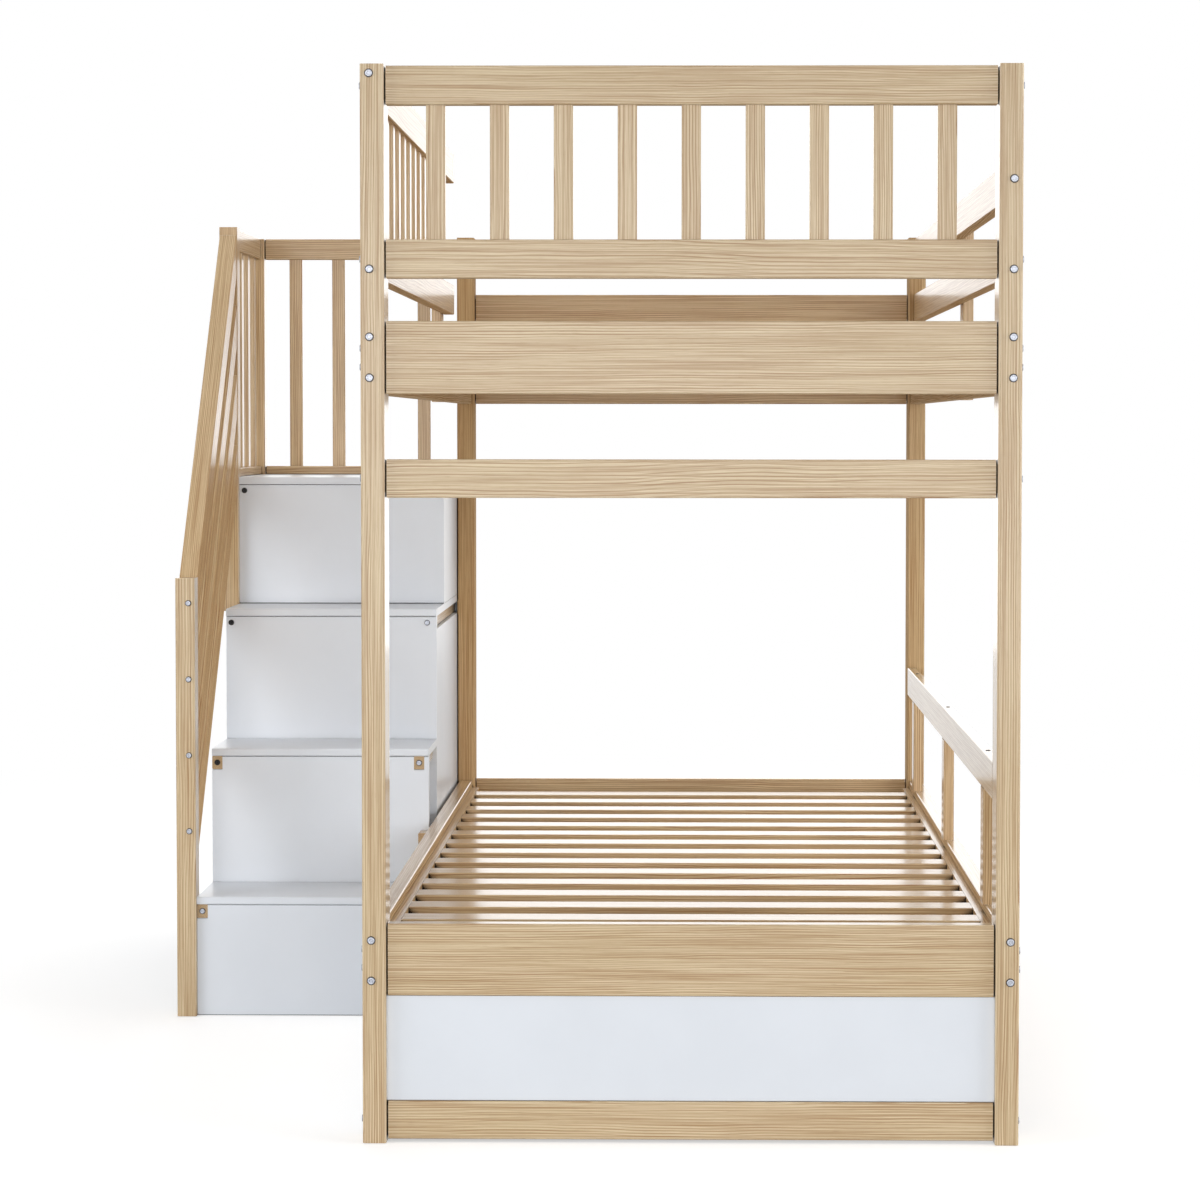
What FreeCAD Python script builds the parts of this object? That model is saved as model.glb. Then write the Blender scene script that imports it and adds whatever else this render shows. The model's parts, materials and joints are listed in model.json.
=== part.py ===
"""Twin bunk bed with a storage staircase, built as separate pieces.

The bed stands on the floor at Z = 0. Its tall foot end faces -Y, its lower head end +Y,
and the staircase climbs along +Y on the -X side. The origin is the middle of the
footprint. All lengths are millimetres.
"""
import FreeCAD, Part
import os
import Sketcher
from types import SimpleNamespace

SIZES = {
    # footprint and posts
    "bed_width": 1060.0,
    "bed_length": 1990.0,
    "post_thick": 38.0,
    "post_depth": 70.0,
    "post_ease": 2.5,
    # heights, from the floor up
    "foot_rail_base": 5.0,
    "rail_height": 62.0,
    "foot_panel_height": 172.0,
    "board_height": 117.0,
    "bunk_clearance": 856.0,
    "mid_rail_gap": 105.0,
    "guard_gap": 68.5,
    "tall_guard_opening": 215.5,
    "low_guard_opening": 61.5,
    "tall_top_drop": 2.0,
    "low_top_drop": 4.0,
    # rails, boards and panels across the two ends
    "end_rail_thick": 25.0,
    "end_rail_setback": 10.0,
    "edge_ease": 1.5,
    "shadow_gap": 2.5,
    "end_stub_inset": 8.0,
    "side_stub_inset": 5.0,
    "foot_panel_setback": 14.0,
    "panel_thick": 15.0,
    "panel_ease": 1.0,
    # upright slats of the tall end
    "end_slat_count": 9,
    "end_slat_width": 31.0,
    "end_slat_thick": 12.0,
    "end_slat_margin": 66.5,
    # lengthwise rails, ledges and bed slats
    "side_rail_thick": 28.0,
    "side_rail_setback": 5.0,
    "ledge_width": 15.5,
    "ledge_lip_width": 37.0,
    "ledge_lip_height": 25.0,
    "bed_slat_count": 14,
    "bed_slat_width": 60.0,
    "bed_slat_thick": 15.0,
    "bed_slat_margin": 76.0,
    "bed_slat_drop": 16.0,
    "bed_slat_clearance": 0.5,
    # guards of the upper bunk
    "guard_thick": 22.0,
    "access_width": 403.0,
    "guard_slat_count": 12,
    "guard_slat_width": 30.0,
    "guard_slat_thick": 9.0,
    "guard_slat_lead": 59.0,
    "guard_slat_tail": 286.6,
    "guard_stile_width": 60.0,
    "guard_stile_thick": 20.0,
    "guard_stile_inset": 9.0,
    # guard of the lower bunk
    "lower_guard_thick": 20.0,
    "lower_upright_count": 3,
    "lower_upright_width": 45.0,
    "lower_upright_height": 196.0,
    "lower_upright_margin": 142.5,
    # staircase
    "stair_gap": 1.0,
    "stair_width": 440.0,
    "landing_depth": 412.0,
    "stair_going": 187.0,
    "first_rise": 235.0,
    "stair_rise": 272.0,
    "tread_thick": 15.0,
    "tread_nose": 4.0,
    "tread_ease": 2.0,
    "cleat_inset": 9.0,
    "cleat_width": 21.0,
    "cleat_height": 27.0,
    # handrail
    "newel_size": 38.0,
    "newel_height": 863.0,
    "newel_lead": 12.0,
    "newel_bolt_inset": 12.5,
    "slant_count": 4,
    "slant_thick": 36.0,
    "slant_cut_height": 88.0,
    "slant_foot_drop": 49.0,
    "slant_head_drop": 61.0,
    "slant_spacing": 149.4,
    # guard of the landing
    "landing_top_drop": 1.0,
    "landing_stile_lead": 20.0,
    "landing_rail_thick": 22.0,
    "landing_rail_height": 46.0,
    "landing_foot_height": 19.0,
    "landing_slat_count": 4,
    "landing_slat_width": 29.0,
    "landing_slat_thick": 10.0,
    "landing_side_lead": 24.5,
    "landing_side_tail": 32.5,
    "landing_back_lead": 55.5,
    "landing_back_tail": 64.3,
    # spacer block between staircase and bed
    "block_lap": 19.0,
    "block_length": 40.0,
    "block_height": 25.0,
    "block_drop": 15.0,
    # drawers under the lower bunk
    "drawer_gap": 5.0,
    "drawer_depth": 560.0,
    "drawer_front_thick": 18.0,
    "drawer_floor_gap": 12.0,
    "drawer_top_gap": 6.0,
    "drawer_wall_height": 140.0,
    "drawer_wall_inset": 14.0,
    "drawer_wall_thick": 12.0,
    "drawer_base_thick": 6.0,
    "grip_width": 130.0,
    "grip_slope": 18.0,
    "grip_depth": 28.0,
    "glide_radius": 15.0,
    "glide_height": 22.0,
    "glide_inset": 45.0,
    # bolts
    "bolt_radius": 3.0,
    "bolt_clearance": 0.4,
    "bolt_reach": 40.0,
    "bolt_end_room": 2.0,
    "bolt_head_radius": 7.0,
    "bolt_head_height": 3.5,
    "bolt_side_inset": 14.5,
    "stair_head_radius": 6.0,
    "sunk_head_radius": 5.0,
    "sunk_head_height": 4.0,
    "sunk_bore_depth": 3.0,
    "cut_overrun": 5.0,
}

# heights of the bolts in each board, as shares of the board's own height
SIDE_BOLT_SHARES = (0.22, 0.78)
END_BOARD_SHARES = (0.37, 0.63)
END_RAIL_SHARES = (0.5,)
TALL_GUARD_SHARES = (0.79,)
LOW_GUARD_SHARES = (0.23,)
WALL_GUARD_SHARES = (0.56,)
FAR_TOP_SHARES = (0.25,)

# bolts repeat often, so a few flats stand for their rounds
HEAD_FLAT_COUNT = 12
SHANK_FLAT_COUNT = 6
GLIDE_FLAT_COUNT = 16


class Size:
    """A length worked out from the sheet: its formula and its present value."""

    def __init__(self, formula, value):
        self.formula = formula
        self.value = value

    def joined(self, sign, other, value):
        return Size("(%s %s %s)" % (self.formula, sign, other.formula), value)

    def __add__(self, other):
        other = as_size(other)
        return self.joined("+", other, self.value + other.value)

    def __sub__(self, other):
        other = as_size(other)
        return self.joined("-", other, self.value - other.value)

    def __mul__(self, other):
        other = as_size(other)
        return self.joined("*", other, self.value * other.value)

    def __truediv__(self, other):
        other = as_size(other)
        return self.joined("/", other, self.value / other.value)

    def __neg__(self):
        return ZERO - self


def as_size(number):
    """Let plain ratios and counts take part in a formula."""
    if isinstance(number, Size):
        return number
    return Size(repr(number), number)


ZERO = Size("0", 0.0)
doc = FreeCAD.newDocument("bunk_bed")
sheet = doc.addObject("Spreadsheet::Sheet", "sizes")


def fill_sheet():
    """Write the driving sizes into the sheet and hand them back by name."""
    cells = {}
    for row, (name, value) in enumerate(SIZES.items(), start=1):
        sheet.set("A%d" % row, name)
        sheet.set("B%d" % row, str(value))
        sheet.setAlias("B%d" % row, name)
        cells[name] = Size("sizes." + name, value)
    doc.recompute()
    return SimpleNamespace(**cells)


S = fill_sheet()

# blanks before boring, the tools that bore them, and the members of each node
blanks = {}
bores = {}
bolts = {}
members = {}

# turns that lay a piece's own Z axis along X, Y or Z
TURNS = {
    "x": FreeCAD.Rotation(FreeCAD.Vector(1, 1, 1), 120),
    "y": FreeCAD.Rotation(FreeCAD.Vector(1, 1, 1), 240),
    "z": FreeCAD.Rotation(),
}
# how closely an edge must follow a direction to be eased along with it, in radians
EASE_ANGLE = 0.001
# which of the spans X, Y, Z lie along a piece's own X, Y and Z
OWN_AXES = {"x": (1, 2, 0), "y": (2, 0, 1), "z": (0, 1, 2)}


def span(low, length):
    """A stretch that starts at low."""
    return (low, low + length)


def width_of(stretch):
    return stretch[1] - stretch[0]


def step_between(stretch, lead, tail, width, count):
    """Distance from one copy to the next, for a row that fills a stretch but for its margins."""
    return (width_of(stretch) - lead - tail - width) / (count - 1)


def node(label, *labels):
    """Name the blanks that make up a node: itself, or several solids that share it."""
    members[label] = labels or (label,)


def origin_item(body, role):
    return [item for item in body.Origin.OriginFeatures if item.Role == role][0]


def new_sketch(body, lift=None):
    sketch = body.newObject("Sketcher::SketchObject", body.Name + "_sketch")
    sketch.AttachmentSupport = [(origin_item(body, "XY_Plane"), "")]
    sketch.MapMode = "FlatFace"
    if lift is not None:
        sketch.setExpression("AttachmentOffset.Base.z", lift.formula)
    return sketch


def measure(sketch, kind, line, size):
    """Hold the start of a line at a named distance from the sketch's origin."""
    number = sketch.addConstraint(Sketcher.Constraint(kind, -1, 1, line, 1, size.value))
    sketch.setExpression("Constraints[%d]" % number, size.formula)


def draw_outline(sketch, points):
    """A closed outline of straight lines through named points."""
    corners = [FreeCAD.Vector(u.value, v.value, 0) for u, v in points]
    following = corners[1:] + corners[:1]
    for start, end in zip(corners, following):
        sketch.addGeometry(Part.LineSegment(start, end))
    for line, (u, v) in enumerate(points):
        before = line - 1 if line else len(points) - 1
        sketch.addConstraint(Sketcher.Constraint("Coincident", before, 2, line, 1))
        if u is ZERO:
            sketch.addConstraint(Sketcher.Constraint("PointOnObject", line, 1, -2))
        else:
            measure(sketch, "DistanceX", line, u)
        if v is ZERO:
            sketch.addConstraint(Sketcher.Constraint("PointOnObject", line, 1, -1))
        else:
            measure(sketch, "DistanceY", line, v)


def draw_eased(sketch, wide, high, ease):
    """A rectangle from the sketch's origin, with its corners eased."""
    draw_outline(sketch, [
        (ease, ZERO), (wide - ease, ZERO), (wide, ease), (wide, high - ease),
        (wide - ease, high), (ease, high), (ZERO, high - ease), (ZERO, ease),
    ])


def new_body(label, along, corner):
    """A body whose own Z axis lies along the given axis, with its corner in place."""
    body = doc.addObject("PartDesign::Body", label)
    body.Placement = FreeCAD.Placement(FreeCAD.Vector(), TURNS[along])
    for axis, place in zip("xyz", corner):
        body.setExpression("Placement.Base." + axis, place.formula)
    blanks[label] = body
    return body


def pad(body, sketch, length):
    feature = body.newObject("PartDesign::Pad", body.Name + "_pad")
    feature.Profile = sketch
    feature.setExpression("Length", length.formula)
    sketch.Visibility = False
    return feature


def own_sizes(along, spans):
    return [width_of(spans[i]) for i in OWN_AXES[along]]


def board(label, along, x, y, z, ease=S.edge_ease):
    """A planed board with eased edges along its length."""
    body = new_body(label, along, (x[0], y[0], z[0]))
    wide, high, length = own_sizes(along, (x, y, z))
    sketch = new_sketch(body)
    draw_eased(sketch, wide, high, ease)
    pad(body, sketch, length)
    return body


def stub_rail(label, along, x, y, z, inset=S.side_stub_inset):
    """A board whose ends step down to a stub, which leaves a shadow gap at the posts."""
    body = new_body(label, along, (x[0], y[0], z[0]))
    wide, high, length = own_sizes(along, (x, y, z))
    near, far_u, far_v = inset, wide - inset, high - inset
    core = new_sketch(body)
    draw_outline(core, [(near, near), (far_u, near), (far_u, far_v), (near, far_v)])
    pad(body, core, length)
    full = new_sketch(body, S.shadow_gap)
    draw_eased(full, wide, high, S.edge_ease)
    pad(body, full, length - S.shadow_gap * 2)


def prism(label, along, corner, points, length):
    """A piece of one straight-sided section."""
    body = new_body(label, along, corner)
    sketch = new_sketch(body)
    draw_outline(sketch, points)
    pad(body, sketch, length)
    return body


def ease_edges(body, direction, ease):
    """Ease the edges of a body that run along a direction of its own."""
    doc.recompute()
    base = body.Tip
    names = []
    for number, edge in enumerate(base.Shape.Edges, start=1):
        if edge.tangentAt(edge.FirstParameter).isParallel(direction, EASE_ANGLE):
            names.append("Edge%d" % number)
    chamfer = body.newObject("PartDesign::Chamfer", body.Name + "_ease")
    chamfer.Base = (base, names)
    chamfer.setExpression("Size", ease.formula)


def row_of_boards(label, along, x, y, z, role, step, count):
    """Equal boards in a row along one of the first board's own axes, each a solid of its own."""
    body = board(label, along, x, y, z)
    pattern = body.newObject("PartDesign::LinearPattern", label + "_row")
    pattern.Originals = [body.Tip]
    pattern.Direction = (origin_item(body, role), [""])
    reach = step * (count - 1)
    pattern.setExpression("Length", reach.formula)
    pattern.setExpression("Occurrences", count.formula)
    body.Tip = pattern


def box(label, x, y, z):
    """A plain board with square edges."""
    piece = doc.addObject("Part::Box", label)
    for name, stretch in (("Length", x), ("Width", y), ("Height", z)):
        piece.setExpression(name, width_of(stretch).formula)
    for axis, stretch in zip("xyz", (x, y, z)):
        piece.setExpression("Placement.Base." + axis, stretch[0].formula)
    blanks[label] = piece


# main planes of the bed
PROTRUSION = S.guard_stile_thick - S.side_rail_setback
STAIR_REACH = S.stair_gap + S.stair_width + S.newel_size
LEFT = (STAIR_REACH - S.bed_width - PROTRUSION) / 2
RIGHT = LEFT + S.bed_width
FRONT = -S.bed_length / 2
BACK = S.bed_length / 2
LEFT_IN = LEFT + S.post_thick
RIGHT_IN = RIGHT - S.post_thick
FRONT_IN = FRONT + S.post_depth
BACK_IN = BACK - S.post_depth
INNER_X = (LEFT_IN, RIGHT_IN)
INNER_Y = (FRONT_IN, BACK_IN)

# lower edges of the boards, from the floor up
LOWER_BOARD = S.foot_rail_base + S.rail_height + S.foot_panel_height
LOWER_BOARD_TOP = LOWER_BOARD + S.board_height
UPPER_BOARD = LOWER_BOARD_TOP + S.bunk_clearance
MID_RAIL = UPPER_BOARD - S.mid_rail_gap - S.rail_height
GUARD_RAIL = UPPER_BOARD + S.board_height + S.guard_gap
GUARD_RAIL_TOP = GUARD_RAIL + S.rail_height
TALL_RAIL = GUARD_RAIL_TOP + S.tall_guard_opening
LOW_RAIL = GUARD_RAIL_TOP + S.low_guard_opening
TALL_POST = TALL_RAIL + S.rail_height + S.tall_top_drop
LOW_POST = LOW_RAIL + S.rail_height + S.low_top_drop

# rails across each end
NEAR_RAIL_Y = span(FRONT + S.end_rail_setback, S.end_rail_thick)
FAR_RAIL_Y = span(BACK - S.end_rail_setback - S.end_rail_thick, S.end_rail_thick)
RAIL, BOARD = S.rail_height, S.board_height
NEAR_RAILS = (
    ("near_top_rail", TALL_RAIL, RAIL, END_RAIL_SHARES),
    ("near_guard_rail", GUARD_RAIL, RAIL, END_RAIL_SHARES),
    ("near_upper_board", UPPER_BOARD, BOARD, END_BOARD_SHARES),
    ("near_mid_rail", MID_RAIL, RAIL, END_RAIL_SHARES),
    ("near_lower_board", LOWER_BOARD, BOARD, END_BOARD_SHARES),
    ("near_foot_rail", S.foot_rail_base, RAIL, END_RAIL_SHARES),
)
FAR_RAILS = (
    ("far_top_rail", LOW_RAIL, RAIL, FAR_TOP_SHARES),
    ("far_guard_rail", GUARD_RAIL, RAIL, END_RAIL_SHARES),
    ("far_upper_board", UPPER_BOARD, BOARD, END_BOARD_SHARES),
    ("far_lower_board", LOWER_BOARD, BOARD, END_BOARD_SHARES),
    ("far_foot_rail", S.foot_rail_base, RAIL, END_RAIL_SHARES),
)
# the staircase covers the other outer faces of the far left post
STAIR_CORNER_RAILS = ("far_guard_rail", "far_upper_board")


def make_ends():
    """Posts, rails, foot panels and the tall end's slats."""
    for label, x, y, top in (
        ("near_left_post", LEFT, FRONT, TALL_POST),
        ("near_right_post", RIGHT_IN, FRONT, TALL_POST),
        ("far_left_post", LEFT, BACK_IN, LOW_POST),
        ("far_right_post", RIGHT_IN, BACK_IN, LOW_POST),
    ):
        board(label, "z", span(x, S.post_thick), span(y, S.post_depth), (ZERO, top), S.post_ease)
        node(label)
    for rails, y in ((NEAR_RAILS, NEAR_RAIL_Y), (FAR_RAILS, FAR_RAIL_Y)):
        for label, base, height, _ in rails:
            stub_rail(label, "x", INNER_X, y, span(base, height), S.end_stub_inset)
            node(label)
    panel_z = (S.foot_rail_base + S.rail_height, LOWER_BOARD)
    near_y = span(FRONT + S.foot_panel_setback, S.panel_thick)
    far_y = span(BACK - S.foot_panel_setback - S.panel_thick, S.panel_thick)
    for label, y in (("near_foot_panel", near_y), ("far_foot_panel", far_y)):
        board(label, "x", INNER_X, y, panel_z, S.panel_ease)
        node(label)
    margin, width, count = S.end_slat_margin, S.end_slat_width, S.end_slat_count
    step = step_between(INNER_X, margin, margin, width, count)
    inset = (S.end_rail_thick - S.end_slat_thick) / 2
    y = span(NEAR_RAIL_Y[0] + inset, S.end_slat_thick)
    x = span(LEFT_IN + margin, width)
    row_of_boards("near_end_slats", "z", x, y, (GUARD_RAIL_TOP, TALL_RAIL), "X_Axis", step, count)
    node("near_end_slats")


LEFT_SIDE_X = span(LEFT + S.side_rail_setback, S.side_rail_thick)
RIGHT_SIDE_X = span(RIGHT - S.side_rail_setback - S.side_rail_thick, S.side_rail_thick)
BUNKS = (("upper", UPPER_BOARD), ("lower", LOWER_BOARD))


def make_bunks():
    """Side rails, a rabbeted ledge inside each of them, and the slats on the ledges."""
    lip, wide, low = S.ledge_lip_width, S.ledge_width, S.ledge_lip_height
    high = low + S.bed_slat_thick
    toe = lip - wide
    left_section = [(ZERO, ZERO), (high, ZERO), (high, wide), (low, wide), (low, lip), (ZERO, lip)]
    right_section = [(ZERO, ZERO), (low, ZERO), (low, toe), (high, toe), (high, lip), (ZERO, lip)]
    left_x, right_x = LEFT_SIDE_X[1], RIGHT_SIDE_X[0]
    margin, width, count = S.bed_slat_margin, S.bed_slat_width, S.bed_slat_count
    step = step_between(INNER_Y, margin, margin, width, count)
    for bunk, base in BUNKS:
        for side, x in (("left", LEFT_SIDE_X), ("right", RIGHT_SIDE_X)):
            label = "%s_%s_side_rail" % (bunk, side)
            stub_rail(label, "y", x, INNER_Y, span(base, S.board_height))
            node(label)
        top = base + S.board_height - S.bed_slat_drop
        foot = top - high
        left_ledge, right_ledge = bunk + "_left_ledge", bunk + "_right_ledge"
        prism(left_ledge, "y", (left_x, FRONT_IN, foot), left_section, width_of(INNER_Y))
        prism(right_ledge, "y", (right_x - lip, FRONT_IN, foot), right_section, width_of(INNER_Y))
        node(bunk + "_slat_ledges", left_ledge, right_ledge)
        label = bunk + "_bed_slats"
        x = (left_x + wide + S.bed_slat_clearance, right_x - wide - S.bed_slat_clearance)
        y = span(FRONT_IN + margin, width)
        row_of_boards(label, "x", x, y, (top - S.bed_slat_thick, top), "X_Axis", step, count)
        node(label)


LEFT_GUARD_X = span(LEFT + S.side_rail_setback, S.guard_thick)
RIGHT_GUARD_X = span(RIGHT - S.side_rail_setback - S.guard_thick, S.guard_thick)
LEFT_GUARD_Y = (FRONT_IN, BACK_IN - S.access_width)


def make_upper_guards():
    """Guard with slats on the stair side, open guard on the wall side."""
    stub_rail("left_guard_top", "y", LEFT_GUARD_X, LEFT_GUARD_Y, span(TALL_RAIL, RAIL))
    stub_rail("left_guard_low", "y", LEFT_GUARD_X, LEFT_GUARD_Y, span(GUARD_RAIL, RAIL))
    node("left_guard_rails", "left_guard_top", "left_guard_low")
    lead, tail, width, count = S.guard_slat_lead, S.guard_slat_tail, S.guard_slat_width, S.guard_slat_count
    step = step_between(LEFT_GUARD_Y, lead, tail, width, count)
    inset = (S.guard_thick - S.guard_slat_thick) / 2
    x = span(LEFT_GUARD_X[0] + inset, S.guard_slat_thick)
    y = span(FRONT_IN + lead, width)
    row_of_boards("left_guard_slats", "z", x, y, (GUARD_RAIL_TOP, TALL_RAIL), "Y_Axis", step, count)
    node("left_guard_slats")
    x = (LEFT_GUARD_X[0] - S.guard_stile_thick, LEFT_GUARD_X[0])
    end = LEFT_GUARD_Y[1] - S.guard_stile_inset
    board("left_guard_stile", "z", x, (end - S.guard_stile_width, end), (UPPER_BOARD, TALL_RAIL + RAIL))
    node("left_guard_stile")
    stub_rail("right_guard_top", "y", RIGHT_GUARD_X, INNER_Y, span(LOW_RAIL, RAIL))
    stub_rail("right_guard_low", "y", RIGHT_GUARD_X, INNER_Y, span(GUARD_RAIL, RAIL))
    node("right_guard_rails", "right_guard_top", "right_guard_low")
    x = span(RIGHT_GUARD_X[1], S.guard_stile_thick)
    y = span(-S.guard_stile_width / 2, S.guard_stile_width)
    board("right_guard_stile", "z", x, y, (UPPER_BOARD, LOW_RAIL + RAIL))
    node("right_guard_stile")


LOWER_GUARD_X = span(RIGHT_IN, S.lower_guard_thick)
LOWER_GUARD = LOWER_BOARD_TOP + S.lower_upright_height
LOWER_GUARD_TOP = LOWER_GUARD + S.rail_height
UPRIGHT_MARGIN = S.lower_upright_margin
UPRIGHT_WIDTH = S.lower_upright_width
UPRIGHT_COUNT = S.lower_upright_count
UPRIGHT_STEP = step_between(INNER_Y, UPRIGHT_MARGIN, UPRIGHT_MARGIN, UPRIGHT_WIDTH, UPRIGHT_COUNT)


def make_lower_guard():
    """Guard of the lower bunk on the wall side: a rail on top of its uprights."""
    stub_rail("lower_guard_rail", "y", LOWER_GUARD_X, INNER_Y, (LOWER_GUARD, LOWER_GUARD_TOP))
    node("lower_guard_rail")
    y = span(FRONT_IN + UPRIGHT_MARGIN, UPRIGHT_WIDTH)
    z = (LOWER_BOARD_TOP, LOWER_GUARD)
    label = "lower_guard_uprights"
    row_of_boards(label, "z", LOWER_GUARD_X, y, z, "Y_Axis", UPRIGHT_STEP, UPRIGHT_COUNT)
    node(label)


# planes of the staircase; the fourth step is the landing
STEPS = (0, 1, 2, 3)
LANDING_STEP = STEPS[-1]
NOTCHED_STEPS = STEPS[:2]
STAIR_RIGHT = LEFT - S.stair_gap
STAIR_LEFT = STAIR_RIGHT - S.stair_width
STAIR_X = (STAIR_LEFT, STAIR_RIGHT)
RISERS = [BACK - S.landing_depth - S.stair_going * (LANDING_STEP - i) for i in STEPS]
RISER_BACKS = [front + S.panel_thick for front in RISERS]
TREAD_TOPS = [S.first_rise + S.stair_rise * i for i in STEPS]
TREAD_FEET = [top - S.tread_thick for top in TREAD_TOPS]
RISER_FEET = [TREAD_TOPS[2] if i == LANDING_STEP else ZERO for i in STEPS]
BACK_PANEL_Y = (BACK - S.panel_thick, BACK)
STEP_ENDS = [RISERS[1], RISERS[2], BACK_PANEL_Y[0], BACK_PANEL_Y[0]]
CLEATS_X = {
    "left": span(STAIR_LEFT, S.cleat_width),
    "right": span(STAIR_RIGHT - S.cleat_inset - S.cleat_width, S.cleat_width),
}
# the side panels of the lower steps stand inside their cleats, those of the upper ones flush below them
INSIDE_CLEAT_X = (CLEATS_X["right"][0] - S.panel_thick, CLEATS_X["right"][0])
FLUSH_X = (STAIR_RIGHT - S.panel_thick, STAIR_RIGHT)
SIDE_PANELS_X = [INSIDE_CLEAT_X if i in NOTCHED_STEPS else FLUSH_X for i in STEPS]
SIDE_PANEL_TOPS = [foot if i in NOTCHED_STEPS else foot - S.cleat_height for i, foot in enumerate(TREAD_FEET)]


def make_risers():
    """Front panels of the steps; the lower ones are notched for the ends of the cleats."""
    wide = S.stair_width
    notch = S.cleat_width
    near = wide - S.cleat_inset
    far = near - notch
    labels = []
    for i in STEPS:
        high = TREAD_FEET[i] - RISER_FEET[i]
        low = high - S.cleat_height
        outline = [(ZERO, ZERO), (high, ZERO), (high, wide), (ZERO, wide)]
        if i in NOTCHED_STEPS:
            left_notch = [(low, ZERO), (low, notch), (high, notch)]
            right_notch = [(high, far), (low, far), (low, near), (high, near)]
            outline[1:2] = left_notch + right_notch
        labels.append("riser_%d" % (i + 1))
        body = prism(labels[-1], "y", (STAIR_LEFT, RISERS[i], RISER_FEET[i]), outline, S.panel_thick)
        ease_edges(body, FreeCAD.Vector(0, 1, 0), S.tread_ease)
    node("stair_risers", *labels)


def make_cleats():
    """Battens under the ends of the treads; the lower ones reach through the risers."""
    labels = []
    for i in STEPS:
        y = (RISERS[i] if i in NOTCHED_STEPS else RISER_BACKS[i], STEP_ENDS[i])
        z = (TREAD_FEET[i] - S.cleat_height, TREAD_FEET[i])
        for side, x in CLEATS_X.items():
            labels.append("cleat_%s_%d" % (side, i + 1))
            board(labels[-1], "y", x, y, z)
    node("stair_cleats", *labels)


def make_stair_panels():
    """Treads, the side panels next to the bed, the floors of the cubbies and the back."""
    sides = []
    floors = []
    for i in STEPS:
        y = (RISER_BACKS[i], STEP_ENDS[i])
        sides.append("stair_side_%d" % (i + 1))
        board(sides[-1], "y", SIDE_PANELS_X[i], y, (RISER_FEET[i], SIDE_PANEL_TOPS[i]), S.panel_ease)
        if i == LANDING_STEP:
            continue
        tread = "stair_tread_%d" % (i + 1)
        tread_y = (RISERS[i] - S.tread_nose, STEP_ENDS[i])
        board(tread, "x", STAIR_X, tread_y, (TREAD_FEET[i], TREAD_TOPS[i]), S.tread_ease)
        node(tread)
        floors.append("stair_floor_%d" % (i + 1))
        floor_x = (STAIR_LEFT, SIDE_PANELS_X[i][0])
        board(floors[-1], "x", floor_x, y, (ZERO, S.panel_thick), S.panel_ease)
    node("stair_side_panels", *sides)
    node("stair_floor_panels", *floors)
    board("stair_back_panel", "x", STAIR_X, BACK_PANEL_Y, (ZERO, TREAD_FEET[LANDING_STEP]), S.panel_ease)
    node("stair_back_panel")


# planes of the handrail and of the landing's guard
NEWEL_X = (STAIR_LEFT - S.newel_size, STAIR_LEFT)
NEWEL_Y = span(RISERS[0] - S.newel_lead, S.newel_size)
FRONT_STILE_Y = span(RISERS[LANDING_STEP] - S.landing_stile_lead, S.newel_size)
CORNER_STILE_Y = (BACK - S.newel_size, BACK)
LANDING = TREAD_TOPS[LANDING_STEP]
LANDING_TOP = LOW_POST - S.landing_top_drop
SLANT_COUNT = int(S.slant_count.value)
SLANT_LEVELS = [S.newel_height - S.slant_foot_drop - S.slant_spacing * i for i in range(SLANT_COUNT)]
SLANT_X = NEWEL_X[0] + (S.newel_size - S.slant_thick) / 2


def make_landing_tread():
    """Top tread: it widens behind the front stile to carry the landing's guard."""
    front = RISERS[LANDING_STEP] - S.tread_nose
    depth = BACK - front
    step = FRONT_STILE_Y[1] - front
    inner, outer = S.newel_size, S.newel_size + S.stair_width
    outline = [(inner, ZERO), (outer, ZERO), (outer, depth), (ZERO, depth), (ZERO, step), (inner, step)]
    corner = (NEWEL_X[0], front, TREAD_FEET[LANDING_STEP])
    prism("stair_tread_4", "z", corner, outline, S.tread_thick)
    node("stair_tread_4")


def make_handrail():
    """Front post and the slanted rails between it and the landing's front stile."""
    board("stair_front_post", "z", NEWEL_X, NEWEL_Y, (ZERO, S.newel_height))
    node("stair_front_post")
    run = FRONT_STILE_Y[0] - NEWEL_Y[1]
    climb = LANDING_TOP - S.slant_head_drop - SLANT_LEVELS[0]
    tall = S.slant_cut_height
    outline = [(ZERO, ZERO), (run, climb), (run, climb + tall), (ZERO, tall)]
    labels = []
    for level in SLANT_LEVELS:
        labels.append("slanted_rail_%d" % (len(labels) + 1))
        body = prism(labels[-1], "x", (SLANT_X, NEWEL_Y[1], level - tall / 2), outline, S.slant_thick)
        ease_edges(body, FreeCAD.Vector(run.value, climb.value, 0), S.edge_ease)
    node("stair_slanted_rails", *labels)


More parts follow.
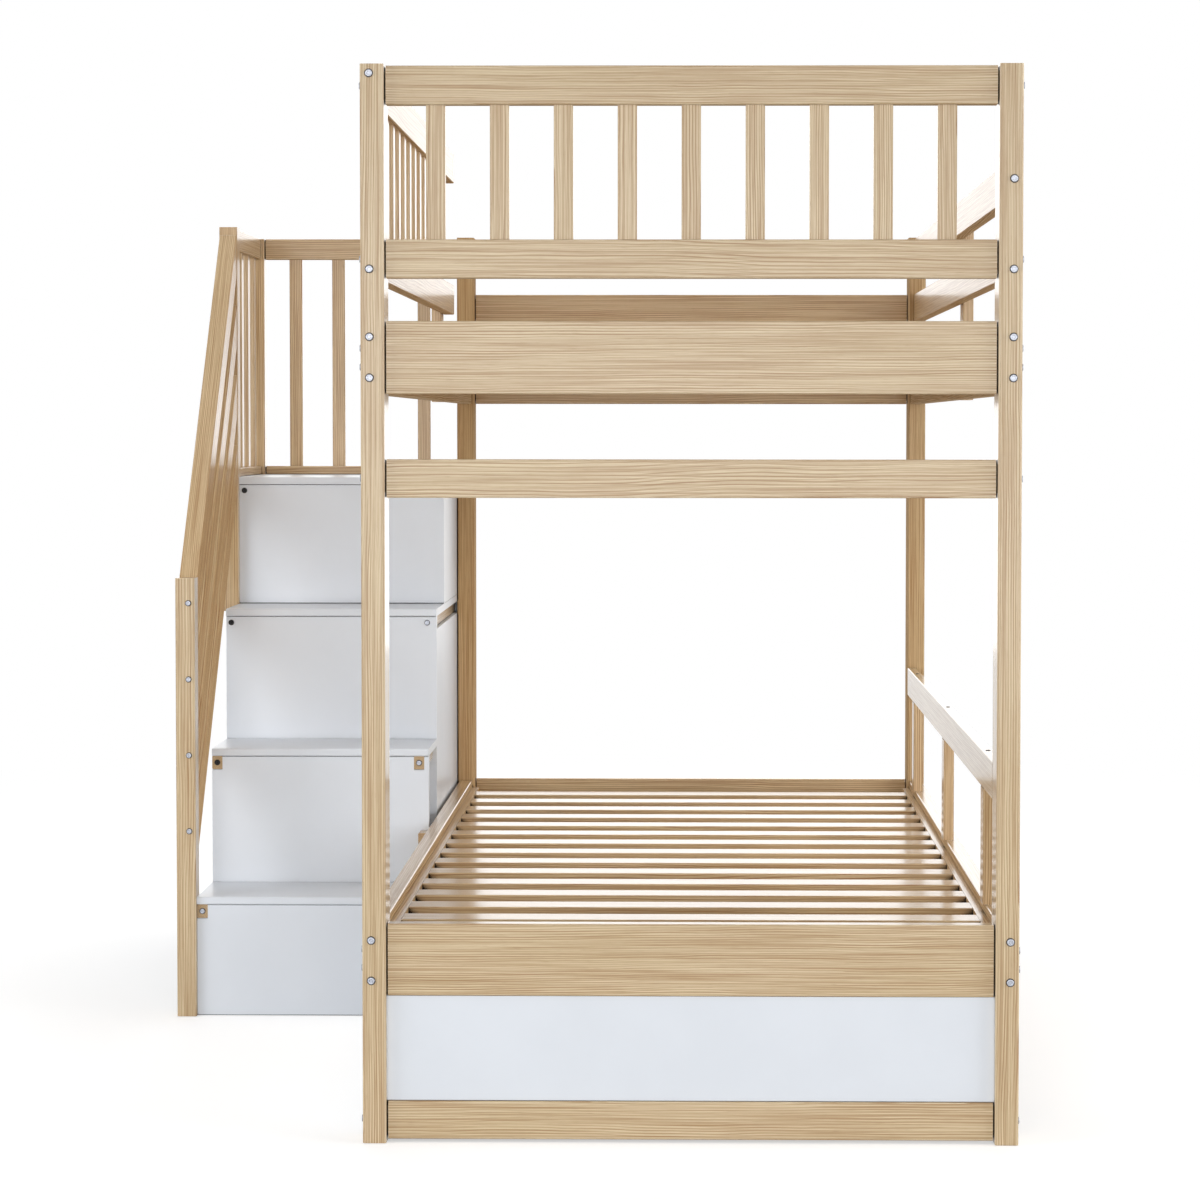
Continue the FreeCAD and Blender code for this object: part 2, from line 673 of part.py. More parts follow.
def make_landing_guard():
    """Stiles, rails and slats round the landing."""
    board("landing_front_stile", "z", NEWEL_X, FRONT_STILE_Y, (TREAD_FEET[2], LANDING_TOP))
    board("landing_corner_stile", "z", NEWEL_X, CORNER_STILE_Y, (LANDING, LANDING_TOP))
    node("landing_stiles", "landing_front_stile", "landing_corner_stile")
    inset = (S.newel_size - S.landing_rail_thick) / 2
    top = (LANDING_TOP - S.landing_rail_height, LANDING_TOP)
    foot = span(LANDING, S.landing_foot_height)
    side_y = (FRONT_STILE_Y[1], CORNER_STILE_Y[0])
    back_x = (STAIR_LEFT, LEFT)
    rail_x = span(NEWEL_X[0] + inset, S.landing_rail_thick)
    rail_y = span(CORNER_STILE_Y[0] + inset, S.landing_rail_thick)
    for level, z in (("top", top), ("foot", foot)):
        stub_rail("landing_side_" + level, "y", rail_x, side_y, z)
        stub_rail("landing_back_" + level, "x", back_x, rail_y, z)
    node("landing_rails", "landing_side_top", "landing_side_foot", "landing_back_top", "landing_back_foot")
    inset = (S.newel_size - S.landing_slat_thick) / 2
    z = (foot[1], top[0])
    width, count = S.landing_slat_width, S.landing_slat_count
    step = step_between(side_y, S.landing_side_lead, S.landing_side_tail, width, count)
    x = span(NEWEL_X[0] + inset, S.landing_slat_thick)
    y = span(side_y[0] + S.landing_side_lead, width)
    row_of_boards("landing_side_slats", "z", x, y, z, "Y_Axis", step, count)
    node("landing_side_slats")
    step = step_between(back_x, S.landing_back_lead, S.landing_back_tail, width, count)
    x = span(back_x[0] + S.landing_back_lead, width)
    y = span(CORNER_STILE_Y[0] + inset, S.landing_slat_thick)
    row_of_boards("landing_back_slats", "z", x, y, z, "X_Axis", step, count)
    node("landing_back_slats")


def make_spacer_block():
    """Block between the second riser and the bed's side rail."""
    x = (LEFT - S.block_lap, LEFT_SIDE_X[0])
    y = (RISERS[1] - S.block_length, RISERS[1])
    top = LOWER_BOARD_TOP - S.block_drop
    board("stair_spacer_block", "y", x, y, (top - S.block_height, top))
    node("stair_spacer_block")


DRAWERS_Y = (FRONT_IN + S.drawer_gap, NEWEL_Y[0] - S.drawer_gap)
DRAWER_WIDTH = (width_of(DRAWERS_Y) - S.drawer_gap) / 2


def make_drawer(name, start):
    """One drawer: front with a grip cut in its top edge, open box, glides on the floor."""
    x = LEFT_SIDE_X[0]
    wide = DRAWER_WIDTH
    high = LOWER_BOARD - S.drawer_top_gap - S.drawer_floor_gap
    low = high - S.grip_depth
    near = (wide - S.grip_width) / 2
    far = near + S.grip_width
    outline = [
        (ZERO, ZERO), (wide, ZERO), (wide, high), (far, high),
        (far - S.grip_slope, low), (near + S.grip_slope, low), (near, high), (ZERO, high),
    ]
    prism(name + "_front", "x", (x, start, S.drawer_floor_gap), outline, S.drawer_front_thick)
    node(name + "_front")
    box_x = span(x + S.drawer_front_thick, S.drawer_depth)
    box_y = (start + S.drawer_wall_inset, start + wide - S.drawer_wall_inset)
    base_z = span(S.glide_height, S.drawer_base_thick)
    wall_z = span(base_z[1], S.drawer_wall_height)
    near_y = span(box_y[0], S.drawer_wall_thick)
    far_y = (box_y[1] - S.drawer_wall_thick, box_y[1])
    walls = [name + part for part in ("_base", "_near_wall", "_far_wall", "_back_wall")]
    box(walls[0], box_x, box_y, base_z)
    box(walls[1], box_x, near_y, wall_z)
    box(walls[2], box_x, far_y, wall_z)
    box(walls[3], (box_x[1] - S.drawer_wall_thick, box_x[1]), (near_y[1], far_y[0]), wall_z)
    node(name + "_box", *walls)
    glides = []
    for u in (box_x[0] + S.glide_inset, box_x[1] - S.glide_inset):
        for v in (box_y[0] + S.glide_inset, box_y[1] - S.glide_inset):
            label = "%s_glide_%d" % (name, len(glides) + 1)
            blanks[label] = rod(label, GLIDE_FLAT_COUNT, S.glide_radius, S.glide_height, (u, v, ZERO), UP)
            glides.append(label)
    node(name + "_glides", *glides)


# ways in which a bolt can point
RIGHTWARD = FreeCAD.Vector(1, 0, 0)
LEFTWARD = FreeCAD.Vector(-1, 0, 0)
INWARD = FreeCAD.Vector(0, 1, 0)
OUTWARD = FreeCAD.Vector(0, -1, 0)
UP = FreeCAD.Vector(0, 0, 1)
DOWN = FreeCAD.Vector(0, 0, -1)


def rod(name, flats, radius, length, start, way):
    """A straight rod with flats, from a point along a way."""
    piece = doc.addObject("Part::Prism", name)
    piece.Polygon = flats
    piece.setExpression("Circumradius", radius.formula)
    piece.setExpression("Height", length.formula)
    piece.Placement = FreeCAD.Placement(FreeCAD.Vector(), FreeCAD.Rotation(UP, way))
    for axis, place in zip("xyz", start):
        piece.setExpression("Placement.Base." + axis, place.formula)
    return piece


def backed_up(point, way, length):
    """A point moved back against a way."""
    return tuple(place - length * part if part else place for place, part in zip(point, way))


def add_bore(pieces, flats, radius, length, start, way):
    """A bore from just outside a face, cut into each of the pieces that it meets."""
    start = backed_up(start, way, S.cut_overrun)
    tool = rod("bore", flats, radius + S.bolt_clearance, length + S.cut_overrun, start, way)
    for piece in pieces:
        bores.setdefault(piece, []).append(tool)


def add_bolt(group, pieces, length, start, way, head_radius, head_height=S.bolt_head_height):
    """A bolt, with its head's underside at a point, and the bore that takes it."""
    head = rod("head", HEAD_FLAT_COUNT, head_radius, head_height, backed_up(start, way, head_height), way)
    shank = rod("shank", SHANK_FLAT_COUNT, S.bolt_radius, length, start, way)
    bolt = doc.addObject("Part::Fuse", "bolt")
    bolt.Base = head
    bolt.Tool = shank
    bolts.setdefault(group, []).append(bolt)
    add_bore(pieces, SHANK_FLAT_COUNT, S.bolt_radius, length + S.bolt_end_room, start, way)


def levels(base, height, shares):
    """Heights of the bolts in a board."""
    return [base + height * share for share in shares]


SIDE_BOLTS = [
    ("upper_%s_side_rail", UPPER_BOARD, BOARD, SIDE_BOLT_SHARES),
    ("lower_%s_side_rail", LOWER_BOARD, BOARD, SIDE_BOLT_SHARES),
]
LOW_GUARD_BOLTS = [("%s_guard_low", GUARD_RAIL, RAIL, LOW_GUARD_SHARES)]
STAIR_SIDE_BOLTS = [("%s_guard_top", TALL_RAIL, RAIL, TALL_GUARD_SHARES)] + LOW_GUARD_BOLTS
WALL_SIDE_BOLTS = [("%s_guard_top", LOW_RAIL, RAIL, WALL_GUARD_SHARES)] + LOW_GUARD_BOLTS


def bolt_lengthwise_rails():
    """Bolts through the posts along Y, into the ends of the lengthwise rails."""
    near, far = (FRONT, INWARD), (BACK, OUTWARD)
    left_x, right_x = LEFT + S.bolt_side_inset, RIGHT - S.bolt_side_inset
    for post, x, (y, way), rails in (
        ("near_left_post", left_x, near, SIDE_BOLTS + STAIR_SIDE_BOLTS),
        ("near_right_post", right_x, near, SIDE_BOLTS + WALL_SIDE_BOLTS),
        ("far_left_post", left_x, far, SIDE_BOLTS),
        ("far_right_post", right_x, far, SIDE_BOLTS + WALL_SIDE_BOLTS),
    ):
        side = "left" if "left" in post else "right"
        for rail, base, height, shares in rails:
            for z in levels(base, height, shares):
                length = S.post_depth + S.bolt_reach
                add_bolt("frame_bolts", (post, rail % side), length, (x, y, z), way, S.bolt_head_radius)


def bolt_end_rails():
    """Bolts through the posts along X, into the ends of the end rails."""
    length = S.post_thick + S.bolt_reach
    for end, rails, rail_y in (("near", NEAR_RAILS, NEAR_RAIL_Y), ("far", FAR_RAILS, FAR_RAIL_Y)):
        y = rail_y[0] + S.end_rail_thick / 2
        for rail, base, height, shares in rails:
            for z in levels(base, height, shares):
                pieces = (end + "_right_post", rail)
                add_bolt("frame_bolts", pieces, length, (RIGHT, y, z), LEFTWARD, S.bolt_head_radius)
                if end == "near" or rail in STAIR_CORNER_RAILS:
                    pieces = (end + "_left_post", rail)
                    add_bolt("frame_bolts", pieces, length, (LEFT, y, z), RIGHTWARD, S.bolt_head_radius)


def bolt_lower_guard():
    """Bolts down through the lower guard's rail into its uprights, with their heads partly sunk."""
    seat = LOWER_GUARD_TOP - S.sunk_bore_depth
    length = seat - LOWER_GUARD + S.bolt_reach
    x = LOWER_GUARD_X[0] + S.lower_guard_thick / 2
    first = FRONT_IN + UPRIGHT_MARGIN + UPRIGHT_WIDTH / 2
    group, pieces = "lower_guard_bolts", ("lower_guard_rail", "lower_guard_uprights")
    radius, height = S.sunk_head_radius, S.sunk_head_height
    for i in range(int(UPRIGHT_COUNT.value)):
        y = first + UPRIGHT_STEP * i
        add_bolt(group, pieces, length, (x, y, seat), DOWN, radius, height)
        add_bore(pieces[:1], HEAD_FLAT_COUNT, radius, S.sunk_bore_depth, (x, y, LOWER_GUARD_TOP), DOWN)


# finish of the bolt at each cleat
STAIR_BOLTS = (
    ("left", 0, "stair_bolts"),
    ("right", 0, "stair_bolts"),
    ("left", 1, "stair_black_bolts"),
    ("right", 1, "stair_bolts"),
    ("left", 2, "stair_black_bolts"),
    ("right", 2, "stair_bolts"),
    ("left", 3, "stair_black_bolts"),
)


def bolt_stairs():
    """Bolts through the risers into the cleats, and through the front post into the slanted rails."""
    for side, i, group in STAIR_BOLTS:
        x = CLEATS_X[side][0] + S.cleat_width / 2
        z = TREAD_FEET[i] - S.cleat_height / 2
        pieces = ("cleat_%s_%d" % (side, i + 1),)
        if i not in NOTCHED_STEPS:
            pieces += ("riser_%d" % (i + 1),)
        length = S.panel_thick + S.bolt_reach
        add_bolt(group, pieces, length, (x, RISERS[i], z), INWARD, S.stair_head_radius)
    x = STAIR_LEFT - S.newel_bolt_inset
    for i, z in enumerate(SLANT_LEVELS):
        pieces = ("stair_front_post", "slanted_rail_%d" % (i + 1))
        length = S.newel_size + S.bolt_reach
        add_bolt("stair_bolts", pieces, length, (x, NEWEL_Y[0], z), INWARD, S.stair_head_radius)


def bored(label):
    """A blank with its bores cut, or the blank itself where it has none."""
    if label not in bores:
        return blanks[label]
    tools = doc.addObject("Part::Compound", label + "_bores")
    tools.Links = bores[label]
    piece = doc.addObject("Part::Cut", label + "_bored")
    piece.Base = blanks[label]
    piece.Tool = tools
    return piece


def finish_nodes():
    """Bore the blanks, gather the solids of each node and name it."""
    finished = {}
    for label, labels in members.items():
        pieces = [bored(name) for name in labels]
        finished[label] = pieces
    finished.update(bolts)
    for label, pieces in finished.items():
        piece = pieces[0]
        if len(pieces) > 1:
            piece = doc.addObject("Part::Compound", label)
            piece.Links = pieces
        piece.Label = label
        finished[label] = piece
    return finished


def check_shapes(finished):
    """Stop where a feature failed, a shape is not sound or a bore cut nothing."""
    for item in doc.Objects:
        if "Invalid" in item.State or "Error" in item.State:
            raise RuntimeError("%s could not be built" % item.Name)
        if item.TypeId == "Part::Cut" and not item.Shape.Volume < item.Base.Shape.Volume:
            raise RuntimeError("%s was not bored" % item.Base.Name)
    for label, piece in finished.items():
        if piece.Shape.isNull() or not piece.Shape.isValid():
            raise RuntimeError("%s has no valid shape" % label)


def main():
    make_ends()
    make_bunks()
    make_upper_guards()
    make_lower_guard()
    make_risers()
    make_cleats()
    make_stair_panels()
    make_landing_tread()
    make_handrail()
    make_landing_guard()
    make_spacer_block()
    make_drawer("drawer_1", DRAWERS_Y[0])
    make_drawer("drawer_2", DRAWERS_Y[0] + DRAWER_WIDTH + S.drawer_gap)
    bolt_lengthwise_rails()
    bolt_end_rails()
    bolt_lower_guard()
    bolt_stairs()
    finished = finish_nodes()
    doc.recompute()
    check_shapes(finished)
    os.makedirs("parts", exist_ok=True)
    for label, piece in finished.items():
        piece.Shape.exportStep("parts/%s.step" % label)


main()
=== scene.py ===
"""Finishes, bolts and studio for a bunk bed with a storage staircase."""

import json
import math

import bmesh
import bpy
import numpy as np
from bpy.props import FloatProperty, FloatVectorProperty, PointerProperty
from mathutils import Matrix, Vector


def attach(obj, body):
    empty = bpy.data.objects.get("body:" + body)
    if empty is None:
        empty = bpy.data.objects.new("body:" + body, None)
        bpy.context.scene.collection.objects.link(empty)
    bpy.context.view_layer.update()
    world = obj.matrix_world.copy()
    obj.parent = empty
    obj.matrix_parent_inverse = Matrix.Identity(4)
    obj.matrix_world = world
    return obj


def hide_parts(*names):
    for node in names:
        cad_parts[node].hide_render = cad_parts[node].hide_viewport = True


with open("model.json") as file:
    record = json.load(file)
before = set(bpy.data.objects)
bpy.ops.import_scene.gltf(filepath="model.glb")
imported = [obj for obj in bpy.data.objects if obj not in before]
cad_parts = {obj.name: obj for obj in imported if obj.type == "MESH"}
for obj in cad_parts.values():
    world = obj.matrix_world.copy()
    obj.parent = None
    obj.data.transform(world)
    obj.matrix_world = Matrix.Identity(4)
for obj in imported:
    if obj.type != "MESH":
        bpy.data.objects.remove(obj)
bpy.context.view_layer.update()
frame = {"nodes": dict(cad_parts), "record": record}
NODES = frame["nodes"]
SLOT_OF = {part["node"]: part["material_slot"] for part in frame["record"]["subparts"]}

bl_info = {
    "name": "Bunk bed finishes",
    "version": (1, 0, 0),
    "blender": (4, 5, 0),
    "location": "View3D > Sidebar > Bunk bed",
    "description": "Dresses the bunk bed in oak, white panels and steel, and sets up its studio",
    "category": "Object",
}

MM = 0.001
SIDEWAYS = (1.0, 0.0, 0.0)
UPWARDS = (0.0, 0.0, 1.0)
DOWNWARDS = (0.0, 0.0, -1.0)
HALF = (0.5, 0.5, 0.5)
BLACK = (0.0, 0.0, 0.0)
WHITE = (1.0, 1.0, 1.0)

# nodes whose grain follows a rule of their own
HANDRAIL = "stair_slanted_rails"
LANDING_RAILS = "landing_rails"


def srgb(red, green, blue):
    """Scene-linear colour from screen values of 0 to 255."""
    linear = []
    for part in (red, green, blue):
        part /= 255.0
        linear.append(part / 12.92 if part <= 0.04045 else ((part + 0.055) / 1.055) ** 2.4)
    return tuple(linear)


def colour_property(name, description, default):
    return FloatVectorProperty(
        name=name, description=description, subtype="COLOR", size=3, min=0.0, max=1.0, default=default
    )


def share_property(name, description, default, lowest=0.0, highest=1.0):
    return FloatProperty(
        name=name, description=description, subtype="FACTOR", min=lowest, max=highest, default=default
    )


def power_property(name, description, default):
    return FloatProperty(name=name, description=description, unit="POWER", min=0.0, default=default)


class BUNKBED_PG_oak(bpy.types.PropertyGroup):
    """Look of the oak."""

    light: colour_property("Early wood", "Colour between the growth lines", srgb(222, 203, 170))
    line: colour_property("Late wood", "Colour of the growth lines", srgb(162, 125, 84))
    pore: colour_property("Pores", "Colour of the fine pores along the grain", srgb(150, 118, 82))
    end: colour_property("End grain", "Tint of the sawn ends", srgb(176, 146, 108))
    ring: FloatProperty(
        name="Growth line spacing", description="Mean distance between growth lines",
        default=3.3 * MM, min=0.5 * MM, unit="LENGTH",
    )
    # painted shade on the boards behind the tall end: a darker, warmer tone for their dimmer light
    depth: share_property("Deeper boards", "How far the boards behind the tall end go to a deeper tone", 0.8)
    roughness: share_property("Varnish roughness", "Mean roughness of the clear varnish", 0.3)
    varnish: share_property("Varnish", "Weight of the clear varnish", 0.85)


class BUNKBED_PG_panels(bpy.types.PropertyGroup):
    """Look of the painted panels and of the drawers' boxes."""

    white: colour_property("White", "Colour of the painted panels", srgb(221, 226, 233))
    shade: colour_property("White mottling", "Slightly darker patches in the paint", srgb(218, 223, 230))
    worn: colour_property("Panel edges", "Colour where the paint thins out on edges", srgb(236, 237, 238))
    roughness: share_property("Paint roughness", "Mean roughness of the paint", 0.32)
    birch: colour_property("Birch", "Face of the drawers' boxes", srgb(224, 203, 168))
    birch_line: colour_property("Birch lines", "Growth lines of the drawers' boxes", srgb(206, 178, 138))


class BUNKBED_PG_metal(bpy.types.PropertyGroup):
    """Look of the bolts and glides."""

    steel: colour_property("Steel", "Plated bolts", srgb(158, 161, 169))
    black: colour_property("Black steel", "Blackened bolts", srgb(34, 34, 36))
    glide: colour_property("Glides", "Plastic glides under the drawers", srgb(92, 92, 94))
    socket: share_property(
        "Socket width", "Width of the hex socket across its flats, as a share of the head", 0.38, 0.1, 0.8
    )


class BUNKBED_PG_studio(bpy.types.PropertyGroup):
    """Floor and light."""

    floor: colour_property("Floor", "Colour of the floor", (0.72, 0.72, 0.72))
    sky: FloatProperty(name="Fill", description="Even light from all round", default=0.2, min=0.0)
    front: power_property("Front light", "Power of the soft box before the tall end", 186.0)
    top: power_property("Top light", "Power of the soft box overhead", 110.0)
    back: power_property("Back light", "Power of the soft box behind the bed", 72.0)
    left: power_property("Left light", "Power of the soft box on the stair side", 105.0)
    right: power_property("Right light", "Power of the soft box on the wall side", 120.0)


class BUNKBED_PG_looks(bpy.types.PropertyGroup):
    """All settings of the bunk bed's looks."""

    oak: PointerProperty(type=BUNKBED_PG_oak)
    panels: PointerProperty(type=BUNKBED_PG_panels)
    metal: PointerProperty(type=BUNKBED_PG_metal)
    studio: PointerProperty(type=BUNKBED_PG_studio)


def looks():
    return bpy.context.scene.bunkbed_looks


class Graph:
    """A node tree under construction."""

    def __init__(self, tree):
        self.tree = tree

    def add(self, kind, inputs=None, **settings):
        """A node with its settings made and its inputs linked or filled."""
        node = self.tree.nodes.new(kind)
        for name, value in settings.items():
            setattr(node, name, value)
        for key, value in (inputs or {}).items():
            self.put(node.inputs[key], value)
        return node

    def put(self, socket, value):
        if isinstance(value, bpy.types.NodeSocket):
            self.tree.links.new(value, socket)
        elif socket.type == "RGBA" and len(value) == 3:
            socket.default_value = (*value, 1.0)
        else:
            socket.default_value = value

    def math(self, operation, first, second=None, clamp=False):
        node = self.add("ShaderNodeMath", {0: first}, operation=operation, use_clamp=clamp)
        if second is not None:
            self.put(node.inputs[1], second)
        return node.outputs[0]

    def vector(self, operation, first, second=None):
        node = self.add("ShaderNodeVectorMath", {0: first}, operation=operation)
        if second is not None:
            self.put(node.inputs[1], second)
        return node.outputs["Value" if operation in ("DOT_PRODUCT", "LENGTH") else "Vector"]

    def mix(self, factor, first, second, blend="MIX"):
        node = self.add("ShaderNodeMix", data_type="RGBA", blend_type=blend, clamp_factor=True)
        for name, value in (("Factor_Float", factor), ("A_Color", first), ("B_Color", second)):
            self.put([s for s in node.inputs if s.identifier == name][0], value)
        return [s for s in node.outputs if s.identifier == "Result_Color"][0]

    def remap(self, value, low, high, to_low=0.0, to_high=1.0):
        """Value moved from one range to another and clamped, with a soft start and end."""
        node = self.add("ShaderNodeMapRange", interpolation_type="SMOOTHSTEP", clamp=True)
        for key, part in enumerate((value, low, high, to_low, to_high)):
            self.put(node.inputs[key], part)
        return node.outputs[0]

    def noise(self, vector, scale, detail=2.0, roughness=0.5, output="Factor"):
        inputs = {"Vector": vector, "Scale": scale, "Detail": detail, "Roughness": roughness}
        node = self.add("ShaderNodeTexNoise", inputs)
        return node.outputs[0 if output == "Factor" else "Color"]

    def stretched_noise(self, vector, stretch, detail=2.0, roughness=0.5, output="Factor"):
        """Noise with its own fineness along and across the grain."""
        return self.noise(self.vector("MULTIPLY", vector, stretch), 1.0, detail, roughness, output)

    def uneven(self, mean, drop, spread, noise):
        """A value that noise moves about its mean."""
        return self.math("ADD", mean - drop, self.math("MULTIPLY", noise, spread))

    def joined(self, x, y, z):
        return self.add("ShaderNodeCombineXYZ", {0: x, 1: y, 2: z}).outputs[0]

    def parts(self, vector):
        return self.add("ShaderNodeSeparateXYZ", {0: vector}).outputs

    def place(self):
        """Where on its piece a point lies."""
        return self.add("ShaderNodeTexCoord").outputs["Object"]

    def facing(self, direction):
        """Cosine between the flat face and a direction."""
        normal = self.add("ShaderNodeNewGeometry").outputs["True Normal"]
        return self.vector("DOT_PRODUCT", normal, direction)


def new_group(name, inputs, outputs):
    """A shader node group with named sockets, each of its own kind, and the graph inside it."""
    tree = bpy.data.node_groups.new(name, "ShaderNodeTree")
    for side, sockets in (("INPUT", inputs), ("OUTPUT", outputs)):
        for label, kind in sockets.items():
            tree.interface.new_socket(label, in_out=side, socket_type="NodeSocket" + kind)
    graph = Graph(tree)
    given = graph.add("NodeGroupInput").outputs
    results = graph.add("NodeGroupOutput").inputs
    return tree, graph, given, results


# length of figure along which chance picks each board's place
FIGURE_LENGTH = 23.0
# weights that give each board of a row, a stack or a block a number of its own
CELL_WEIGHTS = (1.37, 3.71, 7.13)
# how square to the grain a face is, as a cosine, from a long face to a sawn end
END_FACE = (0.75, 0.95)


def make_board_group():
    """Coordinates along and across a board from its middle, a number of its own, and a mask of its ends."""
    vectors = ("Along", "Side", "Row Start", "Row Pitch")
    tree, g, given, results = new_group(
        "board_coordinates",
        {**dict.fromkeys(vectors, "Vector"), "Number": "Float"},
        {"Vector": "Vector", "Seed": "Float", "End": "Float"},
    )
    along, side = given["Along"], given["Side"]
    third = g.vector("CROSS_PRODUCT", along, side)
    inside = g.vector("SUBTRACT", g.place(), given["Row Start"])
    cell = g.vector("FLOOR", g.vector("DIVIDE", inside, given["Row Pitch"]))
    middle = g.vector("MULTIPLY", g.vector("ADD", cell, HALF), given["Row Pitch"])
    local = g.vector("SUBTRACT", inside, middle)
    number = g.joined(given["Number"], 0.0, 0.0)
    spread = g.vector("ADD", g.vector("MULTIPLY", cell, CELL_WEIGHTS), number)
    dice = g.add("ShaderNodeTexWhiteNoise", {"Vector": spread}, noise_dimensions="3D").outputs["Value"]
    x, y, z = (g.vector("DOT_PRODUCT", local, axis) for axis in (along, side, third))
    x = g.math("ADD", x, g.math("MULTIPLY", dice, FIGURE_LENGTH))
    g.put(results["Vector"], g.joined(x, y, z))
    g.put(results["Seed"], dice)
    g.put(results["End"], g.remap(g.math("ABSOLUTE", g.facing(along)), *END_FACE))
    return tree


# fineness of the wood's patterns along and across the grain, per metre
SWAY_STRETCH = (2.4, 6.0, 6.0)
RIPPLE_STRETCH = (9.0, 40.0, 40.0)
STRENGTH_STRETCH = (1.6, 90.0, 90.0)
FIBRE_STRETCH = (3.5, 420.0, 420.0)
PORE_STRETCH = (45.0, 1500.0, 1500.0)
CLOUD_STRETCH = (2.2, 14.0, 14.0)
# how far the growth lines sway and ripple across the grain
SWAY = (0.0, 16.0 * MM, 16.0 * MM)
RIPPLE = (0.0, 1.2 * MM, 1.2 * MM)
# the tree's heart: its least distance from the board's middle, and what chance adds
HEART_DISTANCE = 0.55
HEART_SPREAD = 0.3
# its turn from one of the board's sides in radians, and what chance adds
HEART_TURN = 0.5
HEART_TURN_SPREAD = 0.57
# range of its slant along the board, in metres per metre
HEART_SLANT = 0.03
# fineness of the years' unevenness, and how much of a ring it moves a line
YEAR_SCALE = 0.55
YEAR_SPREAD = 0.5
# where between two rings a growth line begins and is darkest, and where it ends
LINE_START = (0.42, 0.86)
LINE_END = (0.90, 1.0)
# noise values between which a line goes from weak to strong, and these strengths
STRENGTH_NOISE = (0.3, 0.7)
STRENGTHS = (0.2, 1.0)
# faint lines: how many to a ring, how strong, and the strength that they and the bold lines share
FAINT_RATE = 2.37
FAINT_SHARE = 0.55
SHARED_STRENGTH = 1.1
# noise values between which a pore opens
PORE_NOISE = (0.60, 0.78)
# factor on a board's number before more chances are drawn from it
SEED_SPREAD = 91.7


def thin_lines(graph, ring):
    """A line at each whole number, which darkens slowly and ends sharply."""
    phase = graph.math("FRACT", ring)
    return graph.math("MULTIPLY", graph.remap(phase, *LINE_START), graph.remap(phase, *LINE_END, 1.0, 0.0))


def make_figure_group():
    """Growth lines, fibres and pores of planed wood."""
    tree, g, given, results = new_group(
        "wood_figure",
        {"Vector": "Vector", "Seed": "Float", "Spacing": "Float"},
        {"Lines": "Float", "Fibres": "Float", "Pores": "Float", "Cloud": "Float"},
    )
    vector, seed = given["Vector"], given["Seed"]
    draw = g.math("MULTIPLY", seed, SEED_SPREAD)
    dice = g.add("ShaderNodeTexWhiteNoise", {"W": draw}, noise_dimensions="1D")
    corner_chance, reach_chance, turn_chance = g.parts(dice.outputs["Color"])

    def drift(stretch, width):
        wander = g.stretched_noise(vector, stretch, output="Color")
        return g.vector("MULTIPLY", g.vector("SUBTRACT", wander, HALF), width)

    drifts = g.vector("ADD", drift(SWAY_STRETCH, SWAY), drift(RIPPLE_STRETCH, RIPPLE))
    bent = g.parts(g.vector("ADD", vector, drifts))
    # the tree's heart lies off one corner of the board, at a distance of each board's own
    corner = g.math("MULTIPLY", g.math("FLOOR", g.math("MULTIPLY", corner_chance, 4.0)), math.pi / 2)
    turn = g.math("ADD", corner, HEART_TURN)
    turn = g.math("ADD", turn, g.math("MULTIPLY", turn_chance, HEART_TURN_SPREAD))
    reach = g.math("ADD", g.math("MULTIPLY", reach_chance, HEART_SPREAD), HEART_DISTANCE)
    slant = g.math("MULTIPLY", g.math("SUBTRACT", turn_chance, 0.5), HEART_SLANT)
    length = g.math("SUBTRACT", bent[0], g.math("MULTIPLY", seed, FIGURE_LENGTH))
    heart_y = g.math("MULTIPLY", g.math("COSINE", turn), reach)
    heart_y = g.math("ADD", heart_y, g.math("MULTIPLY", length, slant))
    heart_z = g.math("MULTIPLY", g.math("SINE", turn), reach)
    spoke = g.joined(0.0, g.math("ADD", bent[1], heart_y), g.math("ADD", bent[2], heart_z))
    ring = g.math("DIVIDE", g.vector("LENGTH", spoke), given["Spacing"])
    years = g.noise(g.joined(ring, seed, 0.0), YEAR_SCALE, roughness=0.6)
    ring = g.math("ADD", ring, g.math("MULTIPLY", years, YEAR_SPREAD))
    strength = g.stretched_noise(vector, STRENGTH_STRETCH, detail=3.0, roughness=0.6)
    strength = g.remap(strength, *STRENGTH_NOISE, *STRENGTHS)
    bold = g.math("MULTIPLY", thin_lines(g, ring), strength)
    faint = thin_lines(g, g.math("MULTIPLY", ring, FAINT_RATE))
    faint = g.math("MULTIPLY", faint, g.math("SUBTRACT", SHARED_STRENGTH, strength))
    g.put(results["Lines"], g.math("MAXIMUM", bold, g.math("MULTIPLY", faint, FAINT_SHARE)))
    g.put(results["Fibres"], g.stretched_noise(vector, FIBRE_STRETCH, detail=4.0, roughness=0.65))
    dashes = g.stretched_noise(vector, PORE_STRETCH, detail=1.0)
    g.put(results["Pores"], g.remap(dashes, *PORE_NOISE))
    g.put(results["Cloud"], g.stretched_noise(vector, CLOUD_STRETCH))
    return tree


# fineness of the worn patches on an edge, noise values between which they show, and how worn they are
WEAR_SCALE = 55.0
WEAR_NOISE = (0.3, 0.7)
WEAR_AMOUNTS = (0.35, 1.0)
# one less the cosine between a rounded edge and its flat face, where wear begins and where it is full
WEAR_BEND = (0.02, 0.28)


